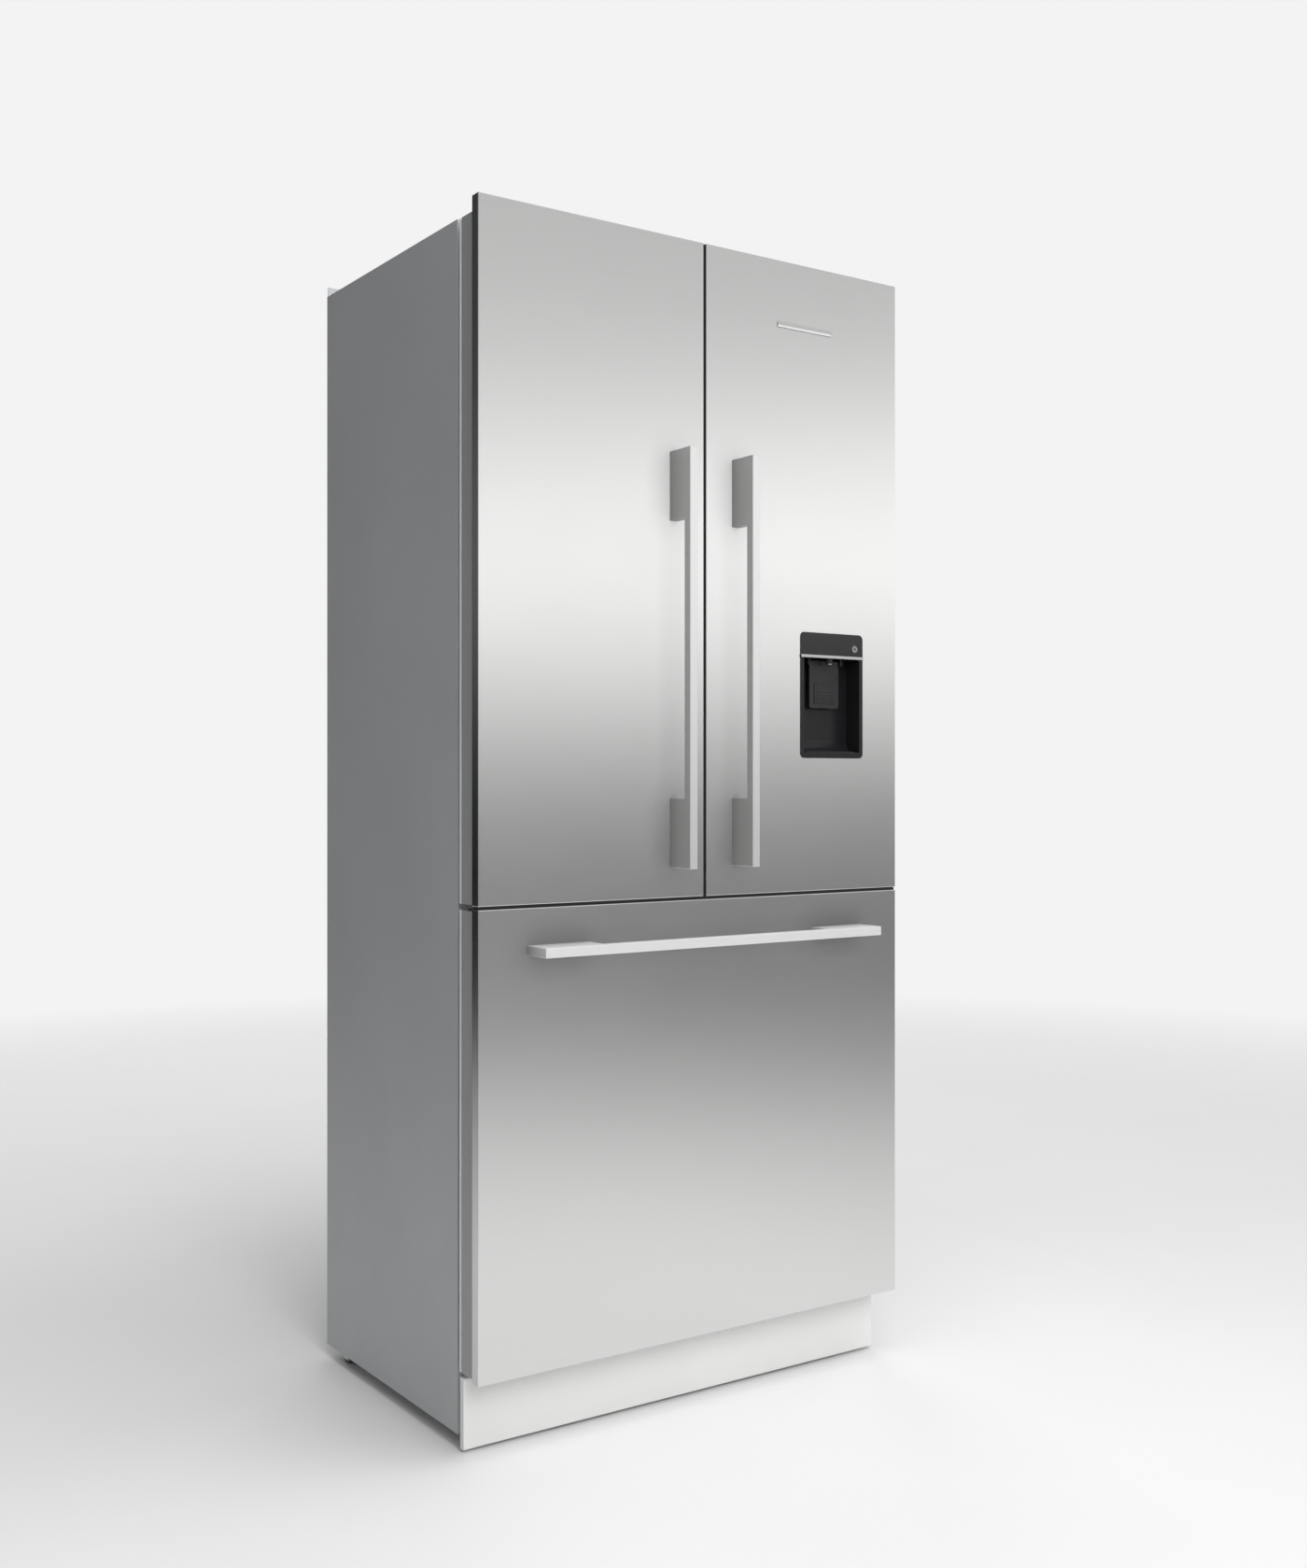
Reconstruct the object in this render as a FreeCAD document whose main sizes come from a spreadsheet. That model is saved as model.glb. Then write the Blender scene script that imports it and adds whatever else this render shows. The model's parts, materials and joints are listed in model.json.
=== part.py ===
"""Built-in french door refrigerator: two hinged upper doors over one freezer drawer.

Row frame: millimetres, +Z up, the doors face -Y, the origin is on the floor below the middle of the
overall box. The steel fronts are wider than the insulated cabinet that stands behind them.
"""

import FreeCAD, Part
import os
import re

import Sketcher
from FreeCAD import Placement, Rotation, Vector

doc = FreeCAD.newDocument("french_door_refrigerator")

# ---------------------------------------------------------------------------------------------
# Driving dimensions
# ---------------------------------------------------------------------------------------------

DIMENSIONS = (
    # steel fronts
    ("fascia_width", 896, "both upper fronts with the gap between them"),
    ("fascia_height", 1905, "bottom of the freezer front to the top of the doors"),
    ("kick_height", 127, "floor to the bottom of the freezer front"),
    ("drawer_front", 760, "height of the freezer front"),
    ("panel_gap", 5, "gap between neighbouring fronts"),
    ("fascia_depth", 20, "depth of a folded front"),
    ("fascia_skin", 1.2, "sheet of a folded front"),
    ("fascia_edge", 1.5, "rounding along a front's edges"),
    # depths from front to back
    ("handle_standoff", 60, "front to the outer face of a handle"),
    ("door_depth", 50, "insulated door behind its front"),
    ("seal_gap", 12, "door to cabinet, filled by the seal"),
    ("cabinet_depth", 528, "cabinet without its doors"),
    # cabinet
    ("case_inset", 6, "side of the fronts to side of the cabinet"),
    ("top_gap", 20, "cabinet top below the top of the doors"),
    ("case_sheet", 1, "steel sheet of the case"),
    ("side_wall", 45, "case outside to cavity"),
    ("back_wall", 60, "cavity to case back"),
    ("top_wall", 50, "cavity to case top"),
    ("floor_wall", 50, "freezer floor insulation"),
    ("divider", 60, "wall between the two cavities"),
    ("liner_sheet", 2.5, "plastic liner"),
    ("rail_sheet", 3, "steel cross rail that carries the middle hinges"),
    ("fixing_upstand", 18, "wall fixing flange above the case"),
    ("fixing_spacing", 600, "between the two wall fixing holes"),
    ("fixing_radius", 3, "wall fixing hole"),
    # base
    ("chassis_underside", 25, "floor to the chassis"),
    ("chassis_height", 75, "side of the chassis tray"),
    ("chassis_sheet", 2, "steel of the chassis tray"),
    ("machine_height", 150, "machine bay above the chassis"),
    ("machine_depth", 190, "machine bay, from the back"),
    ("kick_setback", 60, "front to toe kick"),
    ("kick_board", 12, "toe kick thickness"),
    ("kick_clear", 5, "toe kick to the floor, and to the freezer front"),
    ("foot_inset", 60, "case side to foot axis"),
    ("foot_back", 70, "cabinet face to foot axis"),
    ("foot_radius", 22, "foot pad"),
    ("foot_pad", 10, "thickness of the foot pad"),
    ("stem_radius", 6, "threaded stem of a foot"),
    ("stem_length", 48, "stem above the pad"),
    ("roller_radius", 20, "rear roller"),
    ("roller_width", 24, "rear roller"),
    ("roller_inset", 30, "case side to the middle of a roller"),
    ("roller_back", 52, "case back to the roller axle"),
    ("axle_radius", 4, "roller axle"),
    ("fork_plate", 3, "steel of a roller fork"),
    # machine bay
    ("can_room", 62, "part of the bay's and the chassis' height that the compressor can leaves free"),
    ("can_foot", 9, "radius of a compressor foot"),
    ("condenser_tube", 2.5, "radius of the condenser's tube"),
    ("fan_shroud", 74, "half of the shroud's side"),
    ("fan_opening", 64, "radius of the shroud's opening"),
    ("fan_sheet", 4, "thickness of the shroud"),
    ("fan_tip", 56, "fan's axis to a blade's tip"),
    ("fan_hub", 15, "radius of the fan's hub"),
    ("fan_shaft", 3, "radius of the motor's shaft"),
    ("motor_radius", 24, "fan motor"),
    ("motor_length", 34, "fan motor"),
    ("valve_half", 22, "half of the water valve's width"),
    ("valve_port", 13.2, "radius of the water stub"),
    ("valve_bore", 7, "radius of the water stub's bore"),
    ("port_clear", 24, "radius of the cover's hole for the water stub"),
    ("mains_half", 25, "half of the mains socket's width"),
    ("mains_rise", 15, "half of the mains socket's height"),
    ("mains_depth", 28, "mains socket, front to back"),
    # fits
    ("running_fit", 0.05, "radial clearance of pins and shafts"),
    ("slide_play", 0.4, "clearance of sliding plastic"),
    ("seal_play", 0.5, "seal to cabinet face"),
    # doors
    ("door_inset", 4, "front's edge to door's edge"),
    ("door_corner", 5, "rounding of a door's vertical edges"),
    ("door_liner", 3, "inner skin of a door"),
    ("pivot_side", 22, "front's outer edge to hinge axis"),
    ("pivot_front", 32, "front's face to hinge axis"),
    ("pin_radius", 5, "door hinge pin"),
    ("pin_length", 24, "pin inside the door"),
    ("hinge_plate", 5, "steel of a hinge"),
    ("seal_width", 20, "door seal"),
    ("dike_outer", 37, "hinge axis to the raised rim of a door's liner"),
    ("dike_wall", 22, "thickness of the raised rim"),
    ("dike_depth", 30, "raised rim inside the cavity"),
    ("dike_side", 36, "middle of the fronts to the raised rim"),
    ("bin_depth", 97, "door bin, front to back"),
    ("bin_height", 110, "door bin"),
    ("bin_wall", 3, "door bin"),
    ("bin_corner", 14, "rounding of a door bin"),
    ("bin_lift", 40, "lowest shelf to the lowest bin"),
    # mullion
    ("mullion_side", 24, "middle of the fronts to the mullion's axis"),
    ("mullion_back", 8, "cabinet face to the mullion's axis"),
    ("mullion_reach", 48, "axis to the mullion's free edge"),
    ("mullion_half", 7.5, "half of the mullion's thickness"),
    ("mullion_end", 14, "cavity to the end of the mullion"),
    ("mullion_pin", 3, "radius of the mullion's pins"),
    # handles
    ("handle_length", 716, "all three handles"),
    ("handle_bar", 16, "square bar"),
    ("handle_foot", 119, "solid foot at each end"),
    ("handle_edge", 1, "rounding along the bar"),
    ("handle_seam", 67, "gap between the doors to the middle of a handle"),
    ("handle_rise", 52, "door's lower edge to handle"),
    ("handle_drop", 69, "top of the freezer front to the middle of its handle"),
    # water dispenser
    ("dispenser_width", 151, "bezel"),
    ("dispenser_height", 230, "bezel"),
    ("dispenser_side", 290, "middle of the fronts to the dispenser's middle"),
    ("dispenser_rise", 243, "door's lower edge to the bezel"),
    ("dispenser_corner", 9, "bezel corner"),
    ("dispenser_proud", 1, "bezel in front of the door"),
    ("dispenser_rim", 9, "bezel beside the recess"),
    ("dispenser_sill", 11, "bezel below the recess"),
    ("dispenser_brow", 46, "control panel above the recess"),
    ("recess_depth", 36, "recess, from the front's face"),
    ("recess_scoop", 22, "rounding at the recess's lower back edge"),
    ("spout_height", 5, "bright ledge over the recess"),
    ("spout_proud", 3, "ledge in front of the door"),
    ("spout_depth", 20, "ledge inside the recess"),
    ("nozzle_radius", 5, "water nozzle"),
    ("nozzle_drop", 11, "nozzle below its ledge"),
    ("nozzle_back", 12, "front's face to the nozzle"),
    ("paddle_width", 70, "paddle"),
    ("paddle_height", 84, "paddle"),
    ("paddle_sheet", 4, "paddle"),
    ("paddle_back", 22, "front's face to the paddle"),
    ("paddle_pin", 2, "radius of the paddle's pivot"),
    ("button_radius", 8, "dispenser button"),
    ("button_side", 54, "dispenser's middle to button"),
    ("button_rise", 19, "ledge to button"),
    ("button_proud", 1.5, "button in front of the bezel"),
    ("button_depth", 6, "button"),
    ("button_travel", 1.2, "how far the button presses in"),
    # fresh food cavity
    ("crisper_height", 165, "vegetable drawer"),
    ("crisper_lift", 6, "vegetable drawer above the floor"),
    ("crisper_front", 62, "cabinet face to vegetable drawer"),
    ("crisper_inset", 33, "cavity wall to vegetable drawer"),
    ("crisper_middle", 8, "middle of the cavity to vegetable drawer"),
    ("crisper_wall", 3, "vegetable drawer"),
    ("crisper_corner", 14, "rounding of a vegetable drawer"),
    ("crisper_room", 14, "top of a vegetable drawer to the shelf above"),
    ("shelf_front", 100, "cabinet face to a shelf's front edge"),
    ("shelf_thick", 16, "shelf frame"),
    ("shelf_play", 1.5, "shelf frame to cavity wall"),
    ("shelf_rim", 20, "shelf frame around its opening"),
    ("shelf_seat", 12, "shelf frame outside the glass"),
    ("glass_thick", 4, "shelf glass"),
    ("ledge_width", 12, "moulded ledge under a shelf"),
    ("ledge_thick", 9, "moulded ledge"),
    ("duct_half", 110, "half of the air duct's width"),
    ("duct_depth", 20, "air duct cover"),
    ("duct_slot", 7, "height of an air slot"),
    # freezer cavity
    ("evaporator_room", 72, "depth of the evaporator cover"),
    ("basket_front", 24, "cabinet face to basket"),
    ("basket_wall", 3, "basket"),
    ("basket_clear", 12, "basket to the walls behind and below it"),
    ("slide_rise", 410, "freezer floor to the slides' middle"),
    ("slide_front", 22, "cabinet face to the fixed slide"),
    ("slide_back", 4, "fixed slide to the evaporator cover"),
    ("slide_sheet", 1.5, "slide steel"),
    ("slide_outer_half", 23, "half of the fixed slide's height"),
    ("slide_middle_half", 19.5, "half of the middle slide's height"),
    ("slide_inner_half", 15, "half of the moving slide's height"),
    ("slide_stack", 14, "cavity wall to the moving slide's face"),
    ("drawer_dike", 20, "raised rim of the freezer door inside the cavity"),
    ("drawer_rim_gap", 5, "cavity wall to that raised rim"),
    ("tray_rise", 36, "top of the slides to the tray's ledge"),
    ("tray_height", 190, "upper freezer tray"),
    ("tray_flange", 16, "tray's runner flange"),
    ("tray_front", 36, "cabinet face to tray"),
)

sheet = doc.addObject("Spreadsheet::Sheet", "dims")
for row, (alias, value, note) in enumerate(DIMENSIONS, 1):
    sheet.set(f"A{row}", note)
    sheet.set(f"B{row}", str(value))
    sheet.setAlias(f"B{row}", alias)
doc.recompute()
ALIASES = {alias for alias, _, _ in DIMENSIONS}

# Places that follow from the dimensions, written as expressions. A name here may use any name above it.
PLACES = {
    "half": "fascia_width / 2",
    "case_half": "half - case_inset",
    "inner_half": "case_half - case_sheet",
    "cavity_half": "case_half - side_wall",
    "liner_half": "cavity_half + liner_sheet",
    # front to back
    "total_depth": "handle_standoff + fascia_depth + door_depth + seal_gap + cabinet_depth",
    "y_handle": "-total_depth / 2",
    "y_fascia": "y_handle + handle_standoff",
    "y_door": "y_fascia + fascia_depth",
    "y_inner": "y_door + door_depth",
    "y_cabinet": "y_inner + seal_gap",
    "y_back": "y_cabinet + cabinet_depth",
    "y_rear_wall": "y_back - back_wall",
    "y_machine": "y_back - machine_depth",
    "y_step": "y_machine - back_wall",
    "y_pivot": "y_fascia + pivot_front",
    # floor to top
    "z_seam": "kick_height + drawer_front + panel_gap / 2",
    "z_drawer_top": "z_seam - panel_gap / 2",
    "z_door_low": "z_seam + panel_gap / 2",
    "z_top": "kick_height + fascia_height",
    "z_case": "chassis_underside + chassis_height",
    "z_case_top": "z_top - top_gap",
    "z_roof": "z_case_top - top_wall",
    "z_divider_low": "z_seam - divider / 2",
    "z_divider_high": "z_seam + divider / 2",
    "z_floor": "z_case + floor_wall",
    "z_machine": "z_case + machine_height",
    "z_step": "z_machine + floor_wall",
    "z_slides": "z_floor + slide_rise",
    "slide_length": "cabinet_depth - back_wall - evaporator_room - slide_front - slide_back",
    "z_tray_ledge": "z_slides + slide_outer_half + tray_rise",
    "z_crisper": "z_divider_high + crisper_lift",
    "z_crisper_shelf": "z_crisper + crisper_height + crisper_room",
    "shelf_pitch": "(z_roof - z_crisper_shelf) / 4",
    # doors
    "pivot_half": "half - pivot_side",
    "z_door_case_low": "z_seam + door_inset",
    "z_door_case_top": "z_case_top - 3",
    "z_dike_low": "z_divider_high + 12",
    "z_dike_top": "z_roof - 12",
    "bin_pitch": "(z_dike_top - z_crisper_shelf - bin_lift) / 3",
    # dispenser
    "dispenser_low": "z_door_low + dispenser_rise",
    "dispenser_top": "dispenser_low + dispenser_height",
    "z_ledge": "dispenser_top - dispenser_brow",
    "z_paddle_pin": "z_ledge - 7",
}


def bound(text):
    """The expression for the spreadsheet: every place and alias in text is written out."""

    def written(match):
        word = match.group(0)
        if word in PLACES:
            return f"({bound(PLACES[word])})"
        return f"dims.{word}" if word in ALIASES else word

    return re.sub(r"[a-z_]+", written, text)


def measure(text):
    """The expression's value in millimetres."""
    return float(sheet.evalExpression(bound(text)))


# ---------------------------------------------------------------------------------------------
# Part primitives and booleans, bound to the sheet
# ---------------------------------------------------------------------------------------------

CLOSE = 1e-4
TURN = {
    "x": Rotation(Vector(0, 1, 0), 90),
    "y": Rotation(Vector(1, 0, 0), -90),
    "z": Rotation(),
}
# Body turns: the sketch's x, the sketch's y and the pad's direction, in the row frame.
FACING = Rotation(Vector(1, 0, 0), 90)  # width, height, and the pad grows to the front
UPRIGHT = Rotation(Vector(0, 0, 1), Vector(0, 1, 0), Vector(-1, 0, 0), "XYZ")  # height, depth, pad to -X
nodes = {}


def seat(thing, corner):
    for axis, text in zip("xyz", corner):
        thing.setExpression(f"Placement.Base.{axis}", bound(text))


def block(name, x, y, z):
    """A box between two expressions on each axis."""
    box = doc.addObject("Part::Box", name)
    for size, (low, high) in zip(("Length", "Width", "Height"), (x, y, z)):
        box.setExpression(size, bound(f"({high}) - ({low})"))
    seat(box, (x[0], y[0], z[0]))
    return box


def rod(name, radius, start, length, axis="z"):
    """A cylinder that runs from start along +axis."""
    bar = doc.addObject("Part::Cylinder", name)
    bar.Placement = Placement(Vector(), TURN[axis])
    bar.setExpression("Radius", bound(radius))
    bar.setExpression("Height", bound(length))
    seat(bar, start)
    return bar


def join(name, *pieces):
    fused = doc.addObject("Part::MultiFuse", name)
    fused.Shapes = list(pieces)
    fused.Refine = True
    return fused


def cut(name, base, *tools):
    taken = doc.addObject("Part::Cut", name)
    taken.Base = base
    taken.Tool = tools[0] if len(tools) == 1 else join(f"{name}_tools", *tools)
    taken.Refine = True
    return taken


def gather(name, *pieces):
    """Separate solids that share one node."""
    kept = doc.addObject("Part::Compound", name)
    kept.Links = list(pieces)
    return kept


def node(label, thing):
    thing.Label = label
    nodes[label] = thing
    return thing


def mirrored(side, low, high):
    """The x range from low to high, measured outwards from the middle, on the side -1 or +1."""
    return (low, high) if side > 0 else (f"-({high})", f"-({low})")


def across(half):
    return (f"-({half})", half)


# ---------------------------------------------------------------------------------------------
# PartDesign bodies, bound to the sheet
# ---------------------------------------------------------------------------------------------


def new_body(name, corner, turn=Rotation()):
    body = doc.addObject("PartDesign::Body", name)
    body.Placement = Placement(Vector(), turn)
    seat(body, corner)
    return body


def new_sketch(body, lift="0"):
    sketch = body.newObject("Sketcher::SketchObject", f"{body.Name}_sketch")
    plane = next(o for o in body.Origin.OriginFeatures if o.Role == "XY_Plane")
    sketch.AttachmentSupport = (plane, "")
    sketch.MapMode = "FlatFace"
    sketch.setExpression("AttachmentOffset.Base.z", bound(lift))
    return sketch


def pin_point(sketch, geometry, end, x, y):
    """Holds a point of the sketch at two expressions."""
    for kind, text in (("DistanceX", x), ("DistanceY", y)):
        sketch.addConstraint(Sketcher.Constraint(kind, -1, 1, geometry, end, measure(text)))
        name = f"{kind.lower()}_{geometry}_{end}"
        sketch.renameConstraint(sketch.ConstraintCount - 1, name)
        sketch.setExpression(f"Constraints.{name}", bound(text))


def polygon(body, points, lift="0"):
    sketch = new_sketch(body, lift)
    corners = [Vector(measure(x), measure(y), 0) for x, y in points]
    count = len(corners)
    for i, corner in enumerate(corners):
        sketch.addGeometry(Part.LineSegment(corner, corners[(i + 1) % count]))
    for i in range(count):
        sketch.addConstraint(Sketcher.Constraint("Coincident", i, 2, (i + 1) % count, 1))
    for i, (x, y) in enumerate(points):
        pin_point(sketch, i, 1, x, y)
    return sketch


def rectangle(body, x, y, lift="0"):
    return polygon(body, [(x[0], y[0]), (x[1], y[0]), (x[1], y[1]), (x[0], y[1])], lift)


def circle(body, x, y, radius, lift="0"):
    sketch = new_sketch(body, lift)
    centre = Vector(measure(x), measure(y), 0)
    sketch.addGeometry(Part.Circle(centre, Vector(0, 0, 1), measure(radius)))
    sketch.addConstraint(Sketcher.Constraint("Radius", 0, measure(radius)))
    sketch.renameConstraint(sketch.ConstraintCount - 1, "radius")
    sketch.setExpression("Constraints.radius", bound(radius))
    pin_point(sketch, 0, 3, x, y)
    return sketch


def pad(body, sketch, length):
    grown = body.newObject("PartDesign::Pad", f"{body.Name}_pad")
    grown.Profile = sketch
    grown.setExpression("Length", bound(length))
    doc.recompute()
    return grown


def pocket(body, sketch, depth, upward=False):
    """Cuts down from the sketch, or up from it, and checks that it took something away."""
    before = body.Shape.Volume
    taken = body.newObject("PartDesign::Pocket", f"{body.Name}_pocket")
    taken.Profile = sketch
    taken.Reversed = upward
    taken.setExpression("Length", bound(depth))
    doc.recompute()
    if not body.Shape.Volume < before:
        raise RuntimeError(f"{body.Name}: a pocket cut nothing")
    return taken


def edges_of(feature, wanted):
    return [f"Edge{i}" for i, edge in enumerate(feature.Shape.Edges, 1) if wanted(edge)]


def fillet(body, feature, radius, wanted):
    chosen = edges_of(feature, wanted)
    if not chosen:
        raise RuntimeError(f"{body.Name}: no edge to round")
    rounded = body.newObject("PartDesign::Fillet", f"{body.Name}_fillet")
    rounded.Base = (feature, chosen)
    rounded.setExpression("Radius", bound(radius))
    doc.recompute()
    return rounded


def along(axis):
    """Picks the straight edges that run along one of the body's own axes."""
    way = {"x": Vector(1, 0, 0), "y": Vector(0, 1, 0), "z": Vector(0, 0, 1)}[axis]

    def wanted(edge):
        if not isinstance(edge.Curve, (Part.Line, Part.LineSegment)):
            return False
        return abs(abs(edge.tangentAt(edge.FirstParameter).dot(way)) - 1) < CLOSE

    return wanted


def level(height):
    """Picks the edges that lie at one height of the body."""
    return lambda edge: abs(edge.BoundBox.ZMin - height) < CLOSE and abs(edge.BoundBox.ZMax - height) < CLOSE


def tub(name, x, y, z, wall, corner):
    """An open box with rounded upright corners, inside and out."""
    body = new_body(name, (x[0], y[0], z[0]))
    width, depth, height = (f"(({high}) - ({low}))" for low, high in (x, y, z))
    pad(body, rectangle(body, ("0", width), ("0", depth)), height)
    inside = rectangle(body, (wall, f"{width} - {wall}"), (wall, f"{depth} - {wall}"), height)
    hollow = pocket(body, inside, f"{height} - {wall}")
    upright, floor_height = along("z"), measure(wall)
    inner = fillet(body, hollow, f"{corner} - {wall}",
                   lambda edge: upright(edge) and edge.BoundBox.ZMin > floor_height - CLOSE)
    fillet(body, inner, corner, lambda edge: upright(edge) and edge.BoundBox.ZMin < CLOSE)
    return body


# ---------------------------------------------------------------------------------------------
# Cabinet: steel case, insulation, liners
# ---------------------------------------------------------------------------------------------


def side_panel(label, side):
    """Folded sheet: the side of the case with a flange round the front of the insulation."""
    flange, sheet_, depth = "(side_wall - liner_sheet)", "case_sheet", "cabinet_depth"
    if side < 0:
        corner = "-case_half"
        profile = [("0", "0"), (flange, "0"), (flange, sheet_), (sheet_, sheet_), (sheet_, depth),
                   ("0", depth)]
    else:
        corner, inner = f"case_half - {flange}", f"{flange} - {sheet_}"
        profile = [("0", "0"), (flange, "0"), (flange, depth), (inner, depth), (inner, sheet_), ("0", sheet_)]
    body = new_body(label, (corner, "y_cabinet", "chassis_underside"))
    pad(body, polygon(body, profile), "z_case_top - chassis_underside")
    node(label, body)


def top_panel():
    """Top sheet with a flange down the front and a drilled upstand at the back for wall screws."""
    sheet_top = block("top_sheet", across("inner_half"), ("y_cabinet + case_sheet", "y_back"),
                      ("z_case_top - case_sheet", "z_case_top"))
    front = block("top_flange", across("liner_half"), ("y_cabinet", "y_cabinet + case_sheet"),
                  ("z_roof + liner_sheet", "z_case_top"))
    upstand = block("top_upstand", across("inner_half"), ("y_back - case_sheet", "y_back"),
                    ("z_case_top - case_sheet", "z_case_top + fixing_upstand"))
    holes = [
        rod("fixing_hole", "fixing_radius",
            (f"{side} * fixing_spacing / 2", "y_back - 5", "z_case_top + fixing_upstand / 2"), "10", "y")
        for side in (-1, 1)
    ]
    node("top_panel", cut("top_panel", join("top_folded", sheet_top, front, upstand), *holes))


def back_panel():
    node("back_panel", block("back_panel", across("inner_half"), ("y_back - case_sheet", "y_back"),
                             ("z_machine", "z_case_top - case_sheet")))


def insulation():
    """The foam that fills the case round both liners, with the machine bay left free."""
    foam = block("foam_block", across("inner_half"), ("y_cabinet + case_sheet", "y_back - case_sheet"),
                 ("z_case", "z_case_top - case_sheet"))
    fridge = block("foam_fridge", across("liner_half"), ("y_cabinet", "y_rear_wall + liner_sheet"),
                   ("z_divider_high - liner_sheet", "z_roof + liner_sheet"))
    freezer = block("foam_freezer", across("liner_half"), ("y_cabinet", "y_step + liner_sheet"),
                    ("z_floor - liner_sheet", "z_divider_low + liner_sheet"))
    freezer_deep = block("foam_freezer_deep", across("liner_half"),
                         ("y_cabinet", "y_rear_wall + liner_sheet"),
                         ("z_step - liner_sheet", "z_divider_low + liner_sheet"))
    rail = block("foam_rail", across("liner_half"), ("y_cabinet", "y_cabinet + rail_sheet"),
                 ("z_divider_low", "z_divider_high"))
    bay = block("foam_bay", across("inner_half"), ("y_machine", "y_back"), ("z_case", "z_machine"))
    node("cabinet_insulation", cut("cabinet_insulation", foam, fridge, freezer, freezer_deep, rail, bay))


def shelf_level(index):
    return f"(z_crisper_shelf + {index} * shelf_pitch)"


def shelf_start(index):
    return "(y_cabinet + crisper_front)" if index == 0 else "(y_cabinet + shelf_front)"


SHELVES = range(4)  # the lowest one covers the vegetable drawers


def fridge_liner():
    """Moulded box, open at the front, with a ledge each side under every shelf and ribs on its floor."""
    shell = block("fridge_shell", across("liner_half"), ("y_cabinet", "y_rear_wall + liner_sheet"),
                  ("z_divider_high - liner_sheet", "z_roof + liner_sheet"))
    room = block("fridge_room", across("cavity_half"), ("y_cabinet - 1", "y_rear_wall"),
                 ("z_divider_high", "z_roof"))
    moulded = [cut("fridge_box", shell, room)]
    for index in SHELVES:
        for side in (-1, 1):
            moulded.append(block(
                "fridge_ledge", mirrored(side, "cavity_half - ledge_width", "cavity_half"),
                (f"{shelf_start(index)} + 15", "y_rear_wall - duct_depth"),
                (f"{shelf_level(index)} - ledge_thick", shelf_level(index))))
    for side in (-1, 1):
        for share in (0.25, 0.75):
            middle = f"(crisper_middle + {share} * (cavity_half - crisper_inset - crisper_middle))"
            moulded.append(block(
                "fridge_rib", mirrored(side, f"{middle} - 4", f"{middle} + 4"),
                ("y_cabinet + crisper_front", "y_rear_wall - duct_depth"),
                ("z_divider_high", "z_crisper - slide_play")))
    node("fridge_liner", join("fridge_liner", *moulded))


def freezer_liner():
    """Moulded box with a step over the machine bay and a ledge each side for the upper tray."""
    def stepped(name, grow, front):
        low = block(f"{name}_low", across(f"cavity_half + {grow}"), (front, f"y_step + {grow}"),
                    (f"z_floor - {grow}", f"z_divider_low + {grow}"))
        deep = block(f"{name}_deep", across(f"cavity_half + {grow}"), (front, f"y_rear_wall + {grow}"),
                     (f"z_step - {grow}", f"z_divider_low + {grow}"))
        return join(name, low, deep)

    box = cut("freezer_box", stepped("freezer_shell", "liner_sheet", "y_cabinet"),
              stepped("freezer_room", "0", "y_cabinet - 1"))
    ledges = [
        block("freezer_ledge", mirrored(side, "cavity_half - ledge_width", "cavity_half"),
              ("y_cabinet + tray_front", "y_rear_wall - evaporator_room - 6"),
              ("z_tray_ledge - ledge_thick", "z_tray_ledge"))
        for side in (-1, 1)
    ]
    node("freezer_liner", join("freezer_liner", box, *ledges))


def cross_rail():
    """Steel rail across the face of the divider. The middle hinges are fixed to it."""
    node("cross_rail", block("cross_rail", across("liner_half"), ("y_cabinet", "y_cabinet + rail_sheet"),
                             ("z_divider_low + liner_sheet", "z_divider_high - liner_sheet")))


# ---------------------------------------------------------------------------------------------
# Base: chassis tray, toe kick, feet, rollers
# ---------------------------------------------------------------------------------------------

FOOT_Y = "(y_cabinet + foot_back)"
ROLLER_Y = "(y_back - roller_back)"


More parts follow.
